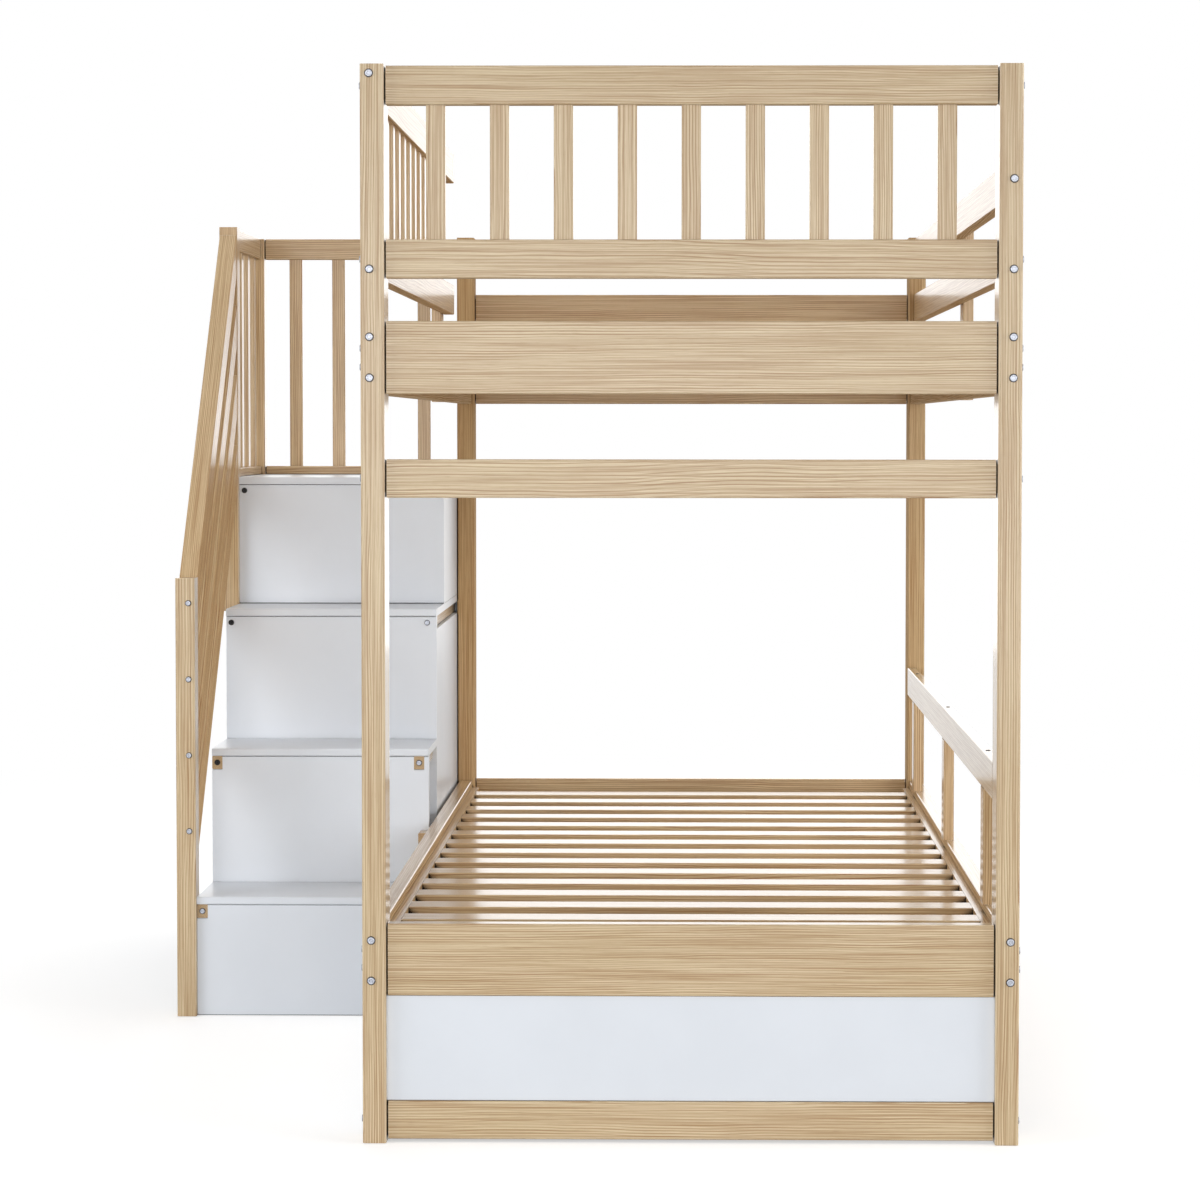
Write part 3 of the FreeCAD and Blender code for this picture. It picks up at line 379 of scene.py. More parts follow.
def make_edge_group():
    """Mask of the edges of a piece, where hands and sanding wear the finish."""
    tree, g, given, results = new_group(
        "edge_wear", {"Width": "Float", "Amount": "Float"}, {"Mask": "Float"}
    )
    rounded = g.add("ShaderNodeBevel", {"Radius": given["Width"]}, samples=4).outputs[0]
    bend = g.math("SUBTRACT", 1.0, g.facing(rounded))
    patches = g.remap(g.noise(g.place(), WEAR_SCALE, detail=3.0, roughness=0.6), *WEAR_NOISE, *WEAR_AMOUNTS)
    mask = g.math("MULTIPLY", g.remap(bend, *WEAR_BEND), patches)
    g.put(results["Mask"], g.math("MULTIPLY", mask, given["Amount"], clamp=True))
    return tree


# openness of a corner where its painted shade is darkest and where it begins
CREVICE_SHADE_OPENNESS = (0.12, 0.62)


def make_crevice_shade_group():
    """Mask of painted shade in seams and inner corners, by how shut in they are."""
    tree, g, given, results = new_group(
        "crevice", {"Reach": "Float", "Amount": "Float"}, {"Mask": "Float"}
    )
    openness = g.add("ShaderNodeAmbientOcclusion", {"Distance": given["Reach"]}, samples=8).outputs["AO"]
    shut = g.remap(openness, *CREVICE_SHADE_OPENNESS, 1.0, 0.0)
    g.put(results["Mask"], g.math("MULTIPLY", shut, given["Amount"], clamp=True))
    return tree


def make_bare_group():
    """Mask of the faces without varnish, by how far they turn down."""
    tree, g, given, results = new_group(
        "bare_faces", {"Varnished": "Float", "Bare": "Float"}, {"Mask": "Float"}
    )
    g.put(results["Mask"], g.remap(g.facing(DOWNWARDS), given["Varnished"], given["Bare"]))
    return tree


# painted shade: the warmer, darker tone that stands for the dimmer light on the boards behind the tall end,
# against the pale ones of the tall end
SHADE_TONE = (0.95, 0.79, 0.6)
# colour of the painted shade in the depth of a seam or corner
CREVICE_SHADE_COLOUR = (0.012, 0.009, 0.007)
# noise values between which fibres darken to streaks, and the most they darken
STREAK_NOISE = (0.38, 0.68)
STREAK_SHARE = 0.72
# the most that pores and sawn ends tint the wood, and the share of white in worn wood
PORE_SHARE = 0.35
END_SHARE = 0.6
WORN_SHARE = 0.5
# brightness of the lightest wood, and how much boards and clouds in the grain take from it
BRIGHTEST = 1.035
BOARD_SHADE = 0.02
CLOUD_SHADE = 0.1
# what the fibres take from the roughness or add to it, and what a sawn end adds
FIBRE_ROUGH_DROP = 0.06
FIBRE_ROUGH_SPREAD = 0.14
END_ROUGH = 0.2
# height of the fibres against the depth of lines and pores
FIBRE_HEIGHT = 0.6


def make_finish_group():
    """Colour, roughness and relief of wood, from its figure and where it is worn, sawn or bare, with painted
    shade in its seams and on the boards behind the tall end.
    """
    figure = ("Lines", "Fibres", "Pores", "Cloud", "Seed")
    state = ("End", "Wear", "Seam", "Bare", "Depth", "Mean Roughness")
    colours = ("Light", "Line", "Pore", "End Grain")
    tree, g, given, results = new_group(
        "wood_finish",
        {**dict.fromkeys(figure + state, "Float"), **dict.fromkeys(colours, "Color")},
        {"Color": "Color", "Roughness": "Float", "Height": "Float"},
    )
    lines, fibres, pores, end = (given[name] for name in ("Lines", "Fibres", "Pores", "End"))
    light, line = given["Light"], given["Line"]
    colour = g.mix(lines, light, line)
    colour = g.mix(g.remap(fibres, *STREAK_NOISE, 0.0, STREAK_SHARE), colour, line)
    colour = g.mix(g.math("MULTIPLY", pores, PORE_SHARE), colour, given["Pore"])
    by_board = g.math("MULTIPLY", given["Seed"], BOARD_SHADE)
    by_cloud = g.math("MULTIPLY", given["Cloud"], CLOUD_SHADE)
    shade = g.math("SUBTRACT", BRIGHTEST, g.math("ADD", by_board, by_cloud))
    warm = {0: shade, 1: shade, 2: g.math("MULTIPLY", shade, shade)}
    colour = g.mix(1.0, colour, g.add("ShaderNodeCombineColor", warm).outputs[0], "MULTIPLY")
    # painted shade on the boards behind the tall end
    colour = g.mix(given["Depth"], colour, SHADE_TONE, "MULTIPLY")
    colour = g.mix(g.math("MULTIPLY", end, END_SHARE), colour, given["End Grain"])
    colour = g.mix(given["Wear"], colour, g.mix(WORN_SHARE, light, WHITE))
    # painted shade in seams and corners
    g.put(results["Color"], g.mix(given["Seam"], colour, CREVICE_SHADE_COLOUR))
    rough = g.math("SUBTRACT", given["Mean Roughness"], FIBRE_ROUGH_DROP)
    rough = g.math("ADD", rough, g.math("MULTIPLY", fibres, FIBRE_ROUGH_SPREAD))
    rough = g.math("ADD", rough, g.math("MULTIPLY", end, END_ROUGH))
    g.put(results["Roughness"], g.math("MAXIMUM", rough, given["Bare"]))
    hollows = g.math("ADD", lines, pores)
    g.put(results["Height"], g.math("SUBTRACT", g.math("MULTIPLY", fibres, FIBRE_HEIGHT), hollows))
    return tree


GROUP_MAKERS = {
    "board_coordinates": make_board_group,
    "wood_figure": make_figure_group,
    "edge_wear": make_edge_group,
    "crevice": make_crevice_shade_group,
    "bare_faces": make_bare_group,
    "wood_finish": make_finish_group,
}


def add_group(graph, name, inputs):
    """A group, built once, placed in a material with values of the material's own."""
    tree = bpy.data.node_groups.get(name) or GROUP_MAKERS[name]()
    return graph.add("ShaderNodeGroup", inputs, node_tree=tree).outputs


def new_material(name):
    material = bpy.data.materials.new(name)
    material.use_nodes = True
    graph = Graph(material.node_tree)
    shader = material.node_tree.nodes["Principled BSDF"]
    return material, graph, shader


def put_bump(graph, shader, height, strength, distance):
    """Fine relief on a surface."""
    bump = graph.add("ShaderNodeBump", {"Height": height, "Strength": strength, "Distance": distance})
    graph.put(shader.inputs["Normal"], bump.outputs[0])


# grid on which corners that lie on each other are taken as one
WELD_GRID = 1e-5


def boards_of(node):
    """Corner points of each separate board in a node."""
    mesh = NODES[node].data
    points = np.array([v.co for v in mesh.vertices], float)
    _, merged = np.unique(np.round(points / WELD_GRID).astype(np.int64), axis=0, return_inverse=True)
    merged = merged.ravel()
    parent = list(range(merged.max() + 1))

    def root(i):
        while parent[i] != i:
            parent[i] = parent[parent[i]]
            i = parent[i]
        return i

    for polygon in mesh.polygons:
        corners = [root(merged[v]) for v in polygon.vertices]
        for other in corners[1:]:
            parent[root(other)] = root(corners[0])
    owner = np.array([root(i) for i in merged])
    return [points[owner == number] for number in sorted(set(owner))]


def box_of(points):
    """Lowest and highest corner round some points."""
    return points.min(0), points.max(0)


# an extent larger than the bed, for axes along which a row of boards does not repeat
FAR_APART = 10.0
# decimals of a metre to which boards of one row share a place
ROW_DECIMALS = 4


def row_of(boxes):
    """Start and pitch of the grid that parts a row of boards, by axis; one wide cell where no row runs."""
    start, pitch = [0.0] * 3, [FAR_APART] * 3
    for axis in range(3):
        lowest = min(low[axis] for low, high in boxes)
        highest = max(high[axis] for low, high in boxes)
        start[axis] = (lowest + highest - FAR_APART) / 2
        middles = sorted({round((low[axis] + high[axis]) / 2, ROW_DECIMALS) for low, high in boxes})
        if len(middles) < 2:
            continue
        step = min(b - a for a, b in zip(middles, middles[1:]))
        if step > max(high[axis] - low[axis] for low, high in boxes):
            pitch[axis] = (middles[-1] - middles[0]) / (len(middles) - 1)
            start[axis] = middles[0] - pitch[axis] / 2
    return start, pitch


def unit(axis):
    return tuple(1.0 if i == axis else 0.0 for i in range(3))


def slope_of(points):
    """Direction of a slanted rail, from the lower corners of its two upright ends."""
    low, high = box_of(points)
    middle = (low[1] + high[1]) / 2
    foot = points[points[:, 1] < middle][:, 2].min()
    head = points[points[:, 1] > middle][:, 2].min()
    return tuple(Vector((0.0, high[1] - low[1], head - foot)).normalized())


# how far before the landing's back rails the grain turns to run across
TURN_ROOM = 1.0 * MM


def grain_of(node, boards, graph):
    """Direction of the grain: a plain vector, or a socket where boards of one node lie two ways."""
    if node == HANDRAIL:
        return slope_of(boards[0])
    boxes = [box_of(points) for points in boards]
    axes = [int(np.argmax(high - low)) for low, high in boxes]
    main = 1 if node == LANDING_RAILS else max(set(axes), key=axes.count)
    turned = [box for box, axis in zip(boxes, axes) if axis != main]
    if not turned:
        return unit(main)
    limit = min(low[0] for low, high in turned)
    behind = graph.math("GREATER_THAN", graph.parts(graph.place())[0], limit - TURN_ROOM)
    other = 0 if main == 1 else 1
    return graph.mix(behind, unit(main), unit(other))


# upward part of the grain's direction past which it counts as upright
STEEP = 0.5


def side_of(along):
    """Direction across the grain: upwards, or sideways on upright and steep boards."""
    steep = isinstance(along, tuple) and abs(along[2]) > STEEP
    return SIDEWAYS if steep else UPWARDS


# how far a face turns down, as the cosine to straight down, from varnished to bare
BARE_BELOW = {"Varnished": 0.3, "Bare": 0.8}
BARE_BUT_TOP = {"Varnished": -0.8, "Bare": -0.3}
# the long guards of the upper bunk have less varnish than the other boards
GUARD_VARNISH = 0.55
# heights between which the handrail turns from bare to polished by hands
POLISHED_FROM = (1.0, 1.16)
# share of the painted shade that the handrail's tops keep: its tops are painted paler than its sides, a
# painted highlight from the light above
LIT_TOP_SHADE_SHARE = 0.1
# how far from its corner a seam takes painted shade, and how dark; darkest where the slats lie in their
# ledges, where it paints the shade under the slats' ends
BOARD_CREVICE_SHADE = {"Reach": 9.0 * MM, "Amount": 1.0}
SLAT_CREVICE_SHADE = {"Reach": 45.0 * MM, "Amount": 2.2}
# worn edges, and how the wood and its varnish reflect
WOOD_WEAR = {"Width": 2.0 * MM, "Amount": 0.35}
WOOD_IOR = 1.3
VARNISH_IOR = 1.22
VARNISH_ROUGHNESS = 0.15


def wood_material(node, number, colours, spacing, roughness, depth=0.0, varnish=0.0, bare_faces=BARE_BELOW):
    """Wood whose grain follows the boards of one node; some are varnished, and some darkened with painted
    shade.
    """
    material, g, shader = new_material("wood_" + node)
    boards = boards_of(node)
    along = grain_of(node, boards, g)
    start, pitch = row_of([box_of(points) for points in boards])
    board = add_group(g, "board_coordinates", {
        "Along": along, "Side": side_of(along), "Row Start": start, "Row Pitch": pitch, "Number": number,
    })
    figure = add_group(g, "wood_figure", {
        "Vector": board["Vector"], "Seed": board["Seed"], "Spacing": spacing,
    })
    in_ledge = node.endswith(("_slat_ledges", "_bed_slats"))
    # painted shade in seams and corners, stronger in the slats' ledges
    corner_shade = add_group(g, "crevice", SLAT_CREVICE_SHADE if in_ledge else BOARD_CREVICE_SHADE)["Mask"]
    bare = add_group(g, "bare_faces", bare_faces)["Mask"]
    if node == HANDRAIL:
        # the handrail's tops painted paler than its sides: painted highlight
        depth = g.remap(bare, 0.0, 1.0, depth * LIT_TOP_SHADE_SHARE, depth)
        height = g.parts(g.place())[2]
        bare = g.math("MULTIPLY", bare, g.remap(height, *POLISHED_FROM, 1.0, 0.0))
    bare = g.math("MAXIMUM", bare, corner_shade)
    finish = add_group(g, "wood_finish", {
        **{output.name: output for output in figure},
        **colours,
        "Seed": board["Seed"],
        "End": board["End"],
        "Wear": add_group(g, "edge_wear", WOOD_WEAR)["Mask"],
        "Seam": corner_shade,
        "Bare": bare,
        "Depth": depth,
        "Mean Roughness": roughness,
    })
    g.put(shader.inputs["Base Color"], finish["Color"])
    g.put(shader.inputs["Roughness"], finish["Roughness"])
    put_bump(g, shader, finish["Height"], strength=0.22, distance=0.4 * MM)
    shader.inputs["IOR"].default_value = WOOD_IOR
    if varnish:
        shader.inputs["Coat IOR"].default_value = VARNISH_IOR
        shader.inputs["Coat Roughness"].default_value = VARNISH_ROUGHNESS
        g.put(shader.inputs["Coat Weight"], g.math("SUBTRACT", varnish, g.math("MULTIPLY", bare, varnish)))
    return material


# fineness of the paint's mottling, smudges and grain, per metre, and the noise values of the mottling
MOTTLE_SCALE = 6.0
MOTTLE_NOISE = (0.3, 0.7)
SMUDGE_SCALE = 18.0
PAINT_GRAIN_SCALE = 380.0
PAINT_WEAR = {"Width": 1.5 * MM, "Amount": 0.5}
# painted shade in the panels' seams and inner corners
PAINT_CREVICE_SHADE = {"Reach": 7.0 * MM, "Amount": 0.8}


def panel_material(name, white, shade, worn, roughness):
    """Sprayed paint on a panel: faint mottling, fine texture, thinner on the edges, and painted shade in its
    seams.
    """
    material, g, shader = new_material(name)
    place = g.place()
    wear = add_group(g, "edge_wear", PAINT_WEAR)["Mask"]
    cloud = g.remap(g.noise(place, MOTTLE_SCALE, detail=3.0, roughness=0.55), *MOTTLE_NOISE)
    colour = g.mix(wear, g.mix(cloud, white, shade), worn)
    corner_shade = add_group(g, "crevice", PAINT_CREVICE_SHADE)["Mask"]
    # painted shade in seams and corners
    g.put(shader.inputs["Base Color"], g.mix(corner_shade, colour, CREVICE_SHADE_COLOUR))
    smudge = g.noise(place, SMUDGE_SCALE, detail=4.0, roughness=0.6)
    g.put(shader.inputs["Roughness"], g.uneven(roughness, drop=0.05, spread=0.12, noise=smudge))
    put_bump(g, shader, g.noise(place, PAINT_GRAIN_SCALE), strength=0.08, distance=0.3 * MM)
    return material


# fineness of the metal's grime, per metre
GRIME_SCALE = 900.0
METAL_WEAR = {"Width": 0.4 * MM, "Amount": 0.4}
# colour of the grime and of bright edges against the metal's own
DULL_SHARE = 0.8
BRIGHT_SHARE = 1.15
BRIGHT_LIFT = 0.02


def metal_material(name, colour, roughness, metallic):
    """Plated or blackened steel with a little grime and bright edges."""
    material, g, shader = new_material(name)
    wear = add_group(g, "edge_wear", METAL_WEAR)["Mask"]
    grime = g.noise(g.place(), GRIME_SCALE, detail=3.0, roughness=0.6)
    dull = tuple(part * DULL_SHARE for part in colour)
    bright = tuple(min(1.0, part * BRIGHT_SHARE + BRIGHT_LIFT) for part in colour)
    g.put(shader.inputs["Base Color"], g.mix(wear, g.mix(grime, colour, dull), bright))
    g.put(shader.inputs["Roughness"], g.uneven(roughness, drop=0.08, spread=0.16, noise=grime))
    shader.inputs["Metallic"].default_value = metallic
    return material


# fineness of the plastic's grain, per metre
SPARK_SCALE = 1400.0
GLIDE_WEAR = {"Width": 0.8 * MM, "Amount": 0.5}
GLIDE_ROUGHNESS = 0.45
# colour of worn edges against the plastic's own
PALE_SHARE = 1.5


def glide_material(name, colour):
    """Moulded plastic."""
    material, g, shader = new_material(name)
    wear = add_group(g, "edge_wear", GLIDE_WEAR)["Mask"]
    spark = g.noise(g.place(), SPARK_SCALE)
    pale = tuple(min(1.0, part * PALE_SHARE) for part in colour)
    g.put(shader.inputs["Base Color"], g.mix(wear, colour, pale))
    g.put(shader.inputs["Roughness"], g.uneven(GLIDE_ROUGHNESS, drop=0.0, spread=0.15, noise=spark))
    put_bump(g, shader, spark, strength=0.15, distance=0.1 * MM)
    return material


def dress(node, material):
    """Give a node its finish."""
    mesh_object = NODES[node]
    if not mesh_object.material_slots:
        mesh_object.data.materials.append(None)
    for slot in mesh_object.material_slots:
        slot.link = "OBJECT"
        slot.material = material


def nodes_of(slot):
    return sorted(node for node in NODES if SLOT_OF[node] == slot)


# boards without painted shade, like the tall end's; boards with the most painted shade; and the share of it
# on the others
UNSHADED_NODES = ("stair_front_post", "stair_cleats", "lower_guard_rail")
MOST_SHADED_NODES = (HANDRAIL, "far_left_post")
USUAL_SHADE = 0.65
# boards of which only the tops shine
MATT_NODES = (HANDRAIL, "far_left_post", "far_right_post")
MATT_ENDINGS = ("_side_rail", "_slat_ledges")
# steps between the numbers from which the nodes' boards get their chances, and the first of the drawers
NUMBER_STEP = 17.0
DRAWER_NUMBER = 900.0
# growth lines of the drawers' boxes against the oak's, and the roughness of the bare wood
BIRCH_RING_SHARE = 1.6
BIRCH_ROUGHNESS = 0.5


def painted_shade_of(node):
    """How much painted shade a node's boards take: none at the tall end, most in the handrail and one post.
    """
    if node.startswith("near_") or node in UNSHADED_NODES:
        return 0.0
    return 1.0 if node in MOST_SHADED_NODES else USUAL_SHADE


def is_matt(node):
    """Whether only the tops of a node's boards shine."""
    return node in MATT_NODES or node.endswith(MATT_ENDINGS)


class BUNKBED_OT_oak(bpy.types.Operator):
    """Dress the posts, rails, slats and handrails in oak"""

    bl_idname = "bunkbed.oak"
    bl_label = "Oak pieces"

    def execute(self, context):
        look = looks().oak
        colours = {"Light": look.light, "Line": look.line, "Pore": look.pore, "End Grain": look.end}
        for number, node in enumerate(nodes_of("oak")):
            material = wood_material(
                node, number * NUMBER_STEP, colours, look.ring, look.roughness,
                # painted shade, by where the node stands
                depth=look.depth * painted_shade_of(node),
                varnish=look.varnish * (GUARD_VARNISH if node.endswith("_guard_rails") else 1.0),
                bare_faces=BARE_BUT_TOP if is_matt(node) else BARE_BELOW,
            )
            dress(node, material)
        return {"FINISHED"}


class BUNKBED_OT_panels(bpy.types.Operator):
    """Paint the staircase's panels, the foot panels and the drawers' fronts"""

    bl_idname = "bunkbed.panels"
    bl_label = "White panels"

    def execute(self, context):
        look = looks().panels
        material = panel_material("white_paint", look.white, look.shade, look.worn, look.roughness)
        for node in nodes_of("white_panel"):
            dress(node, material)
        return {"FINISHED"}


class BUNKBED_OT_drawers(bpy.types.Operator):
    """Finish the drawers' boxes and the glides under them"""

    bl_idname = "bunkbed.drawers"
    bl_label = "Drawer boxes and glides"

    def execute(self, context):
        look, oak = looks().panels, looks().oak
        colours = {"Light": look.birch, "Line": look.birch_line, "Pore": oak.pore, "End Grain": oak.end}
        spacing = oak.ring * BIRCH_RING_SHARE
        for order, node in enumerate(nodes_of("drawer_wood")):
            number = DRAWER_NUMBER + order * NUMBER_STEP
            dress(node, wood_material(node, number, colours, spacing, BIRCH_ROUGHNESS))
        plastic = glide_material("glide_plastic", looks().metal.glide)
        for node in nodes_of("glide"):
            dress(node, plastic)
        return {"FINISHED"}


# corners round a bolt's head; a multiple of six, so that the socket has true corners
HEAD_CORNERS = 24
# radius of a bolt's rings as a share of its washer, head or socket, and height as a share of the head's
WASHER_SHARES = ((0.98, 0.0), (1.0, 0.06), (1.0, 0.18), (0.97, 0.22))
HEAD_SHARES = ((1.0, 0.22), (1.0, 0.55), (0.95, 0.8), (0.86, 0.96), (0.76, 1.0))
SOCKET_SHARES = ((1.06, 0.97), (1.0, 0.9), (1.0, 0.3))
# which of a bolt's bands of faces belong to its washer, which is blackened: a painted shadow ring round the
# head
SHADOW_RING_BANDS = range(2, 7)
# radius of the head against the washer's, and of the socket's mouth against the socket's
HEAD_SHARE = 0.86
MOUTH_SHARE = 1.28
# radius of the shank's tip and height of its taper, against the shank's radius
TIP_SHARE = 0.8
TIP_HEIGHT_SHARE = 0.4
# radius of the shank against the plain bolt's
SHANK_SHARE = 0.96
# share of a plain bolt's widest radius past which a corner is on its rim
RIM_SHARE = 0.98
# distance from a plain bolt's end within which a corner is on its tip
TIP_ROOM = 0.1 * MM
# turn between two faces past which their edge is sharp
SHARP_ANGLE = math.radians(35)


def hex_radius(angle, apothem):
    """Distance from the axis to a hexagon's side."""
    sixth = math.pi / 3
    return apothem / math.cos((angle + sixth / 2) % sixth - sixth / 2)


def bolt_rings(shank, deep, widest, height, apothem):
    """Rings from a bolt's tip to its socket's floor: radius, height over the seat, whether a hexagon."""
    head = widest * HEAD_SHARE
    taper = shank * TIP_HEIGHT_SHARE
    rings = [(shank * TIP_SHARE, -deep, False), (shank, taper - deep, False), (shank, 0.0, False)]
    rings += [(widest * share, level * height, False) for share, level in WASHER_SHARES]
    rings += [(head * share, level * height, False) for share, level in HEAD_SHARES]
    rings.append((apothem * MOUTH_SHARE, height, False))
    return rings + [(apothem * share, level * height, True) for share, level in SOCKET_SHARES]


def add_bolt(work, points, socket):
    """A button-head bolt with a hex socket, in the place of a plain one."""
    low, high = box_of(points)
    axis = int(np.argmax(high - low))
    across = [i for i in range(3) if i != axis]
    middle = (low + high) / 2
    spread = np.linalg.norm(points[:, across] - middle[across], axis=1)
    widest = spread.max()
    rim = points[spread > RIM_SHARE * widest][:, axis]
    upright = rim.mean() > middle[axis]
    under = rim.min() if upright else rim.max()
    top, tail = (high[axis], low[axis]) if upright else (low[axis], high[axis])
    shank = spread[np.abs(points[:, axis] - tail) < TIP_ROOM].max() * SHANK_SHARE
    rings = bolt_rings(shank, abs(under - tail), widest, abs(top - under), widest * socket)
    base = Vector(middle)
    base[axis] = under
    out = Vector(unit(axis)) * (1.0 if upright else -1.0)
    first = Vector(unit(across[0]))
    second = out.cross(first)
    loops = []
    for radius, level, hexagonal in rings:
        loop = []
        for i in range(HEAD_CORNERS):
            angle = 2.0 * math.pi * i / HEAD_CORNERS
            reach = hex_radius(angle, radius) if hexagonal else radius
            place = base + out * level + (first * math.cos(angle) + second * math.sin(angle)) * reach
            loop.append(work.verts.new(place))
        loops.append(loop)
    for number, (near, far) in enumerate(zip(loops, loops[1:])):
        for i in range(HEAD_CORNERS):
            after = (i + 1) % HEAD_CORNERS
            face = work.faces.new((near[i], near[after], far[after], far[i]))
            # the washer's bands are dark: painted shadow round the head
            face.material_index = 1 if number in SHADOW_RING_BANDS else 0
    work.faces.new(list(reversed(loops[0])))
    work.faces.new(loops[-1])


def make_bolts(node, material, shadow_ring):
    """Detailed bolts that stand for a node of plain ones; their washers are blackened, a painted shadow ring
    round each head.
    """
    work = bmesh.new()
    for points in boards_of(node):
        add_bolt(work, points, looks().metal.socket)
    bmesh.ops.recalc_face_normals(work, faces=work.faces)
    mesh = bpy.data.meshes.new(node + "_detailed")
    work.to_mesh(mesh)
    work.free()
    mesh.materials.append(material)
    mesh.materials.append(shadow_ring)
    mesh.shade_smooth()
    mesh.set_sharp_from_angle(angle=SHARP_ANGLE)
    bolts = bpy.data.objects.new(node + "_detailed", mesh)
    bpy.context.scene.collection.objects.link(bolts)
    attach(bolts, "frame")
    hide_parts(node)


class BUNKBED_OT_bolts(bpy.types.Operator):
    """Set bolts with hex sockets in the place of the plain ones"""

    bl_idname = "bunkbed.bolts"
    bl_label = "Bolts"

    def execute(self, context):
        look = looks().metal
        finishes = {
            "steel": metal_material("plated_steel", look.steel, roughness=0.4, metallic=1.0),
            "black_steel": metal_material("black_steel", look.black, roughness=0.42, metallic=0.6),
        }
        for slot, material in finishes.items():
            for node in nodes_of(slot):
                # blackened steel on the washers paints the shadow round each head
                make_bolts(node, material, finishes["black_steel"])
                dress(node, material)
        return {"FINISHED"}


# camera: place, turn left, tilt down and roll in radians; focal length and optical axis in picture pixels
PICTURE = 1200.0
CAMERA_PLACE = (0.23179, -5.64138, 1.15820)
CAMERA_TURN = 0.0121
CAMERA_TILT = -0.0368
CAMERA_ROLL = 0.0007
CAMERA_FOCUS = 2898.17
CAMERA_AXIS = (655.69, 534.29)
# how far the camera sees, in metres, and the width of its sensor in millimetres
CAMERA_REACH = 200.0
SENSOR = 36.0


def make_camera():
    """Camera at the photograph's place and angle."""
    data = bpy.data.cameras.new("camera")
    data.sensor_width = SENSOR
    data.lens = CAMERA_FOCUS / PICTURE * SENSOR
    data.shift_x = (PICTURE / 2 - CAMERA_AXIS[0]) / PICTURE
    data.shift_y = (CAMERA_AXIS[1] - PICTURE / 2) / PICTURE
    data.clip_end = CAMERA_REACH
    camera = bpy.data.objects.new("camera", data)
    turn = Matrix.Rotation(CAMERA_TURN, 4, "Z")
    tilt = Matrix.Rotation(math.pi / 2 + CAMERA_TILT, 4, "X")
    roll = Matrix.Rotation(CAMERA_ROLL, 4, "Z")
    camera.matrix_world = Matrix.Translation(CAMERA_PLACE) @ turn @ tilt @ roll
    bpy.context.scene.collection.objects.link(camera)
    bpy.context.scene.camera = camera


# soft boxes: place, target, width and height; each has its power among the studio's settings
SOFT_BOXES = {
    "front": ((0.0, -6.8, 1.25), (0.0, 0.0, 0.7), (4.4, 2.4)),
    "top": ((0.2, 1.4, 5.0), (0.0, 0.6, 0.0), (4.0, 4.0)),
    "back": ((0.0, 5.2, 1.95), (0.0, 0.0, 0.7), (7.0, 3.4)),
    "left": ((-4.6, -2.4, 1.7), (0.0, 0.2, 0.9), (2.6, 2.6)),
    "right": ((4.6, -1.8, 1.6), (0.0, 0.2, 0.9), (3.0, 2.8)),
}


def make_lamp(name, place, target, size, power):
    """A soft box that points at a target and stays out of the picture itself."""
    data = bpy.data.lights.new(name, "AREA")
    data.shape = "RECTANGLE"
    data.size, data.size_y = size
    data.energy = power
    lamp = bpy.data.objects.new(name, data)
    lamp.location = place
    lamp.visible_camera = False
    lamp.rotation_mode = "QUATERNION"
    lamp.rotation_quaternion = (Vector(target) - Vector(place)).to_track_quat("-Z", "Y")
    bpy.context.scene.collection.objects.link(lamp)


def seen_directly(graph):
    """One where a ray shows the surroundings: straight, in a reflection or through glass."""
    path = graph.add("ShaderNodeLightPath").outputs
    seen = graph.math("MAXIMUM", path["Is Camera Ray"], path["Is Glossy Ray"])
    return graph.math("MAXIMUM", seen, path["Is Transmission Ray"])


def make_world(fill):
    """White all round, which lights the bed softly."""
    world = bpy.data.worlds.new("studio")
    world.use_nodes = True
    bpy.context.scene.world = world
    g = Graph(world.node_tree)
    background = world.node_tree.nodes["Background"]
    g.put(background.inputs["Color"], WHITE)
    strength = g.add("ShaderNodeMapRange", {"Value": seen_directly(g), "To Min": fill, "To Max": 1.0})
    g.put(background.inputs["Strength"], strength.outputs[0])


# distances from the bed's middle between which the floor stops taking shadows and turns plain white
FLOOR_FADE = (1.6, 4.5)
# its own glow at the bed, against that of the plain white farther out
FLOOR_GLOW = 0.5
FLOOR_ROUGHNESS = 0.9
# half its width and depth
FLOOR_HALF = 40.0
# how far the floor lies under the feet, so that no faces coincide
FLOOR_DROP = 0.5 * MM


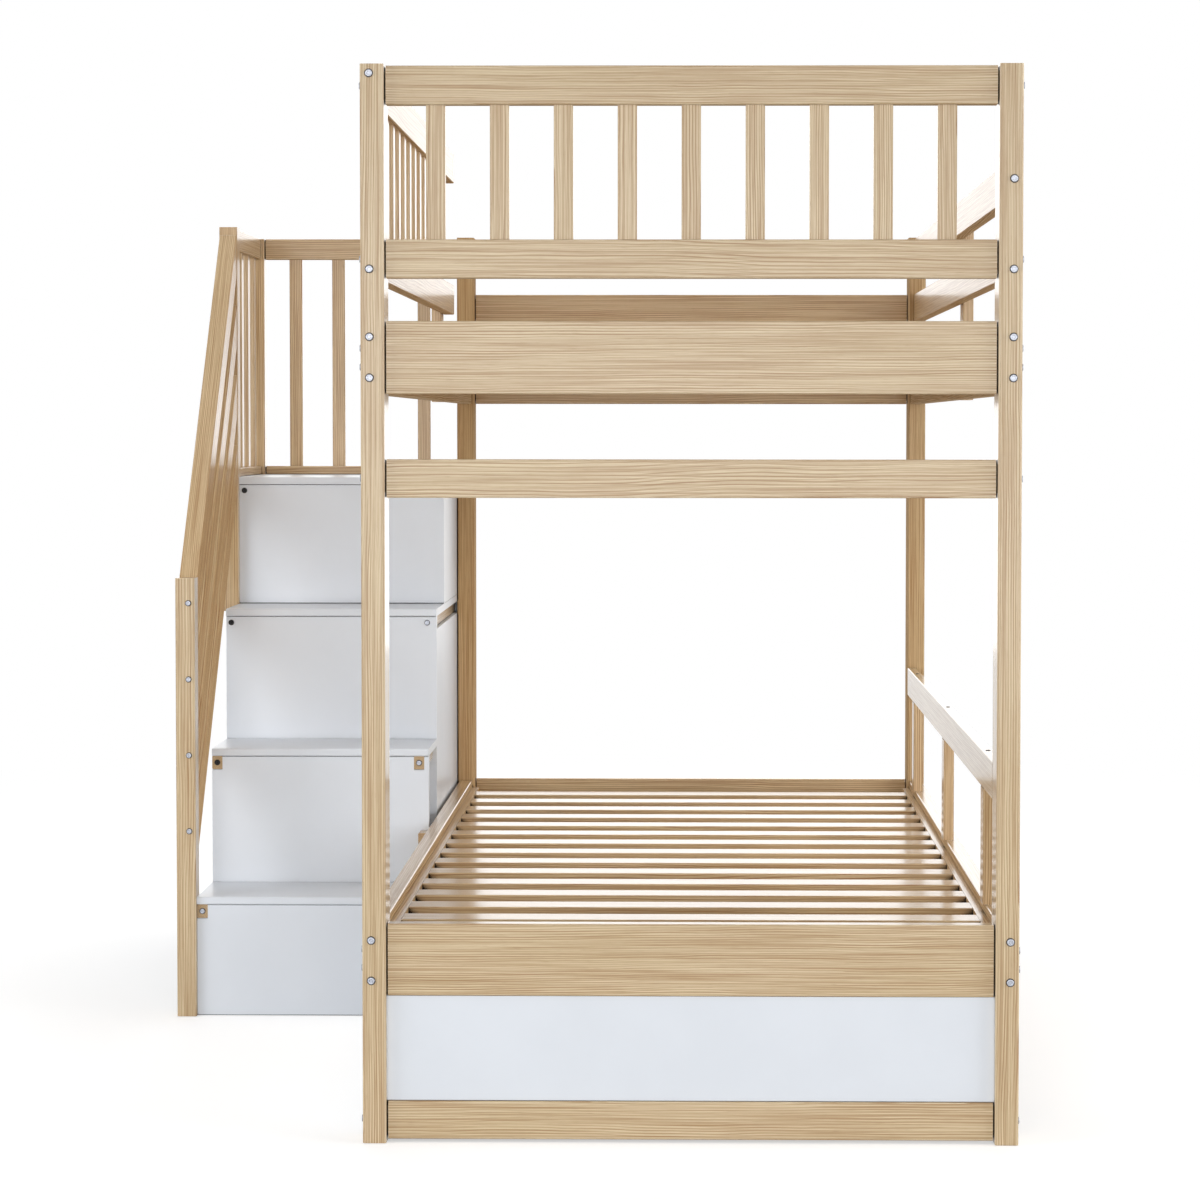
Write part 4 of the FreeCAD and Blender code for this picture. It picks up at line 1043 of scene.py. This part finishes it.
def make_floor(colour):
    """Pale floor that keeps the bed's shadow."""
    mesh = bpy.data.meshes.new("floor")
    corners = [(x * FLOOR_HALF, y * FLOOR_HALF, 0.0) for x, y in ((-1, -1), (1, -1), (1, 1), (-1, 1))]
    mesh.from_pydata(corners, [], [(0, 1, 2, 3)])
    material, g, shader = new_material("floor_paper")
    distance = g.vector("LENGTH", g.place())
    g.put(shader.inputs["Base Color"], g.mix(g.remap(distance, *FLOOR_FADE), colour, BLACK))
    shader.inputs["Roughness"].default_value = FLOOR_ROUGHNESS
    shader.inputs["Specular IOR Level"].default_value = 0.0
    g.put(shader.inputs["Emission Color"], WHITE)
    glow = g.remap(distance, *FLOOR_FADE, FLOOR_GLOW, 1.0)
    g.put(shader.inputs["Emission Strength"], g.math("MULTIPLY", seen_directly(g), glow))
    mesh.materials.append(material)
    floor = bpy.data.objects.new("floor", mesh)
    floor.location.z = -FLOOR_DROP
    bpy.context.scene.collection.objects.link(floor)


class BUNKBED_OT_stage(bpy.types.Operator):
    """Set up the floor, the soft light and the camera"""

    bl_idname = "bunkbed.stage"
    bl_label = "Studio"

    def execute(self, context):
        look = looks().studio
        context.scene.view_settings.view_transform = "Standard"
        make_world(look.sky)
        make_floor(look.floor)
        for side, (place, target, size) in SOFT_BOXES.items():
            make_lamp(side + "_box", place, target, size, getattr(look, side))
        make_camera()
        return {"FINISHED"}


class BUNKBED_PT_looks(bpy.types.Panel):
    """Settings and steps of the bunk bed's looks"""

    bl_idname = "BUNKBED_PT_looks"
    bl_label = "Bunk bed"
    bl_space_type = "VIEW_3D"
    bl_region_type = "UI"
    bl_category = "Bunk bed"

    def draw(self, context):
        look = context.scene.bunkbed_looks
        for group in (look.oak, look.panels, look.metal, look.studio):
            box = self.layout.box()
            for name in group.__annotations__:
                box.prop(group, name)
        for operator in OPERATORS:
            self.layout.operator(operator.bl_idname)


OPERATORS = (BUNKBED_OT_oak, BUNKBED_OT_panels, BUNKBED_OT_drawers, BUNKBED_OT_bolts, BUNKBED_OT_stage)
CLASSES = (
    BUNKBED_PG_oak, BUNKBED_PG_panels, BUNKBED_PG_metal, BUNKBED_PG_studio, BUNKBED_PG_looks,
    *OPERATORS, BUNKBED_PT_looks,
)


def register():
    for item in CLASSES:
        bpy.utils.register_class(item)
    bpy.types.Scene.bunkbed_looks = PointerProperty(type=BUNKBED_PG_looks)


def unregister():
    del bpy.types.Scene.bunkbed_looks
    for item in reversed(CLASSES):
        bpy.utils.unregister_class(item)


def main():
    register()
    bpy.ops.bunkbed.oak()
    bpy.ops.bunkbed.panels()
    bpy.ops.bunkbed.drawers()
    bpy.ops.bunkbed.bolts()
    bpy.ops.bunkbed.stage()
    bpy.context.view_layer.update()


if __name__ == "__main__":
    main()
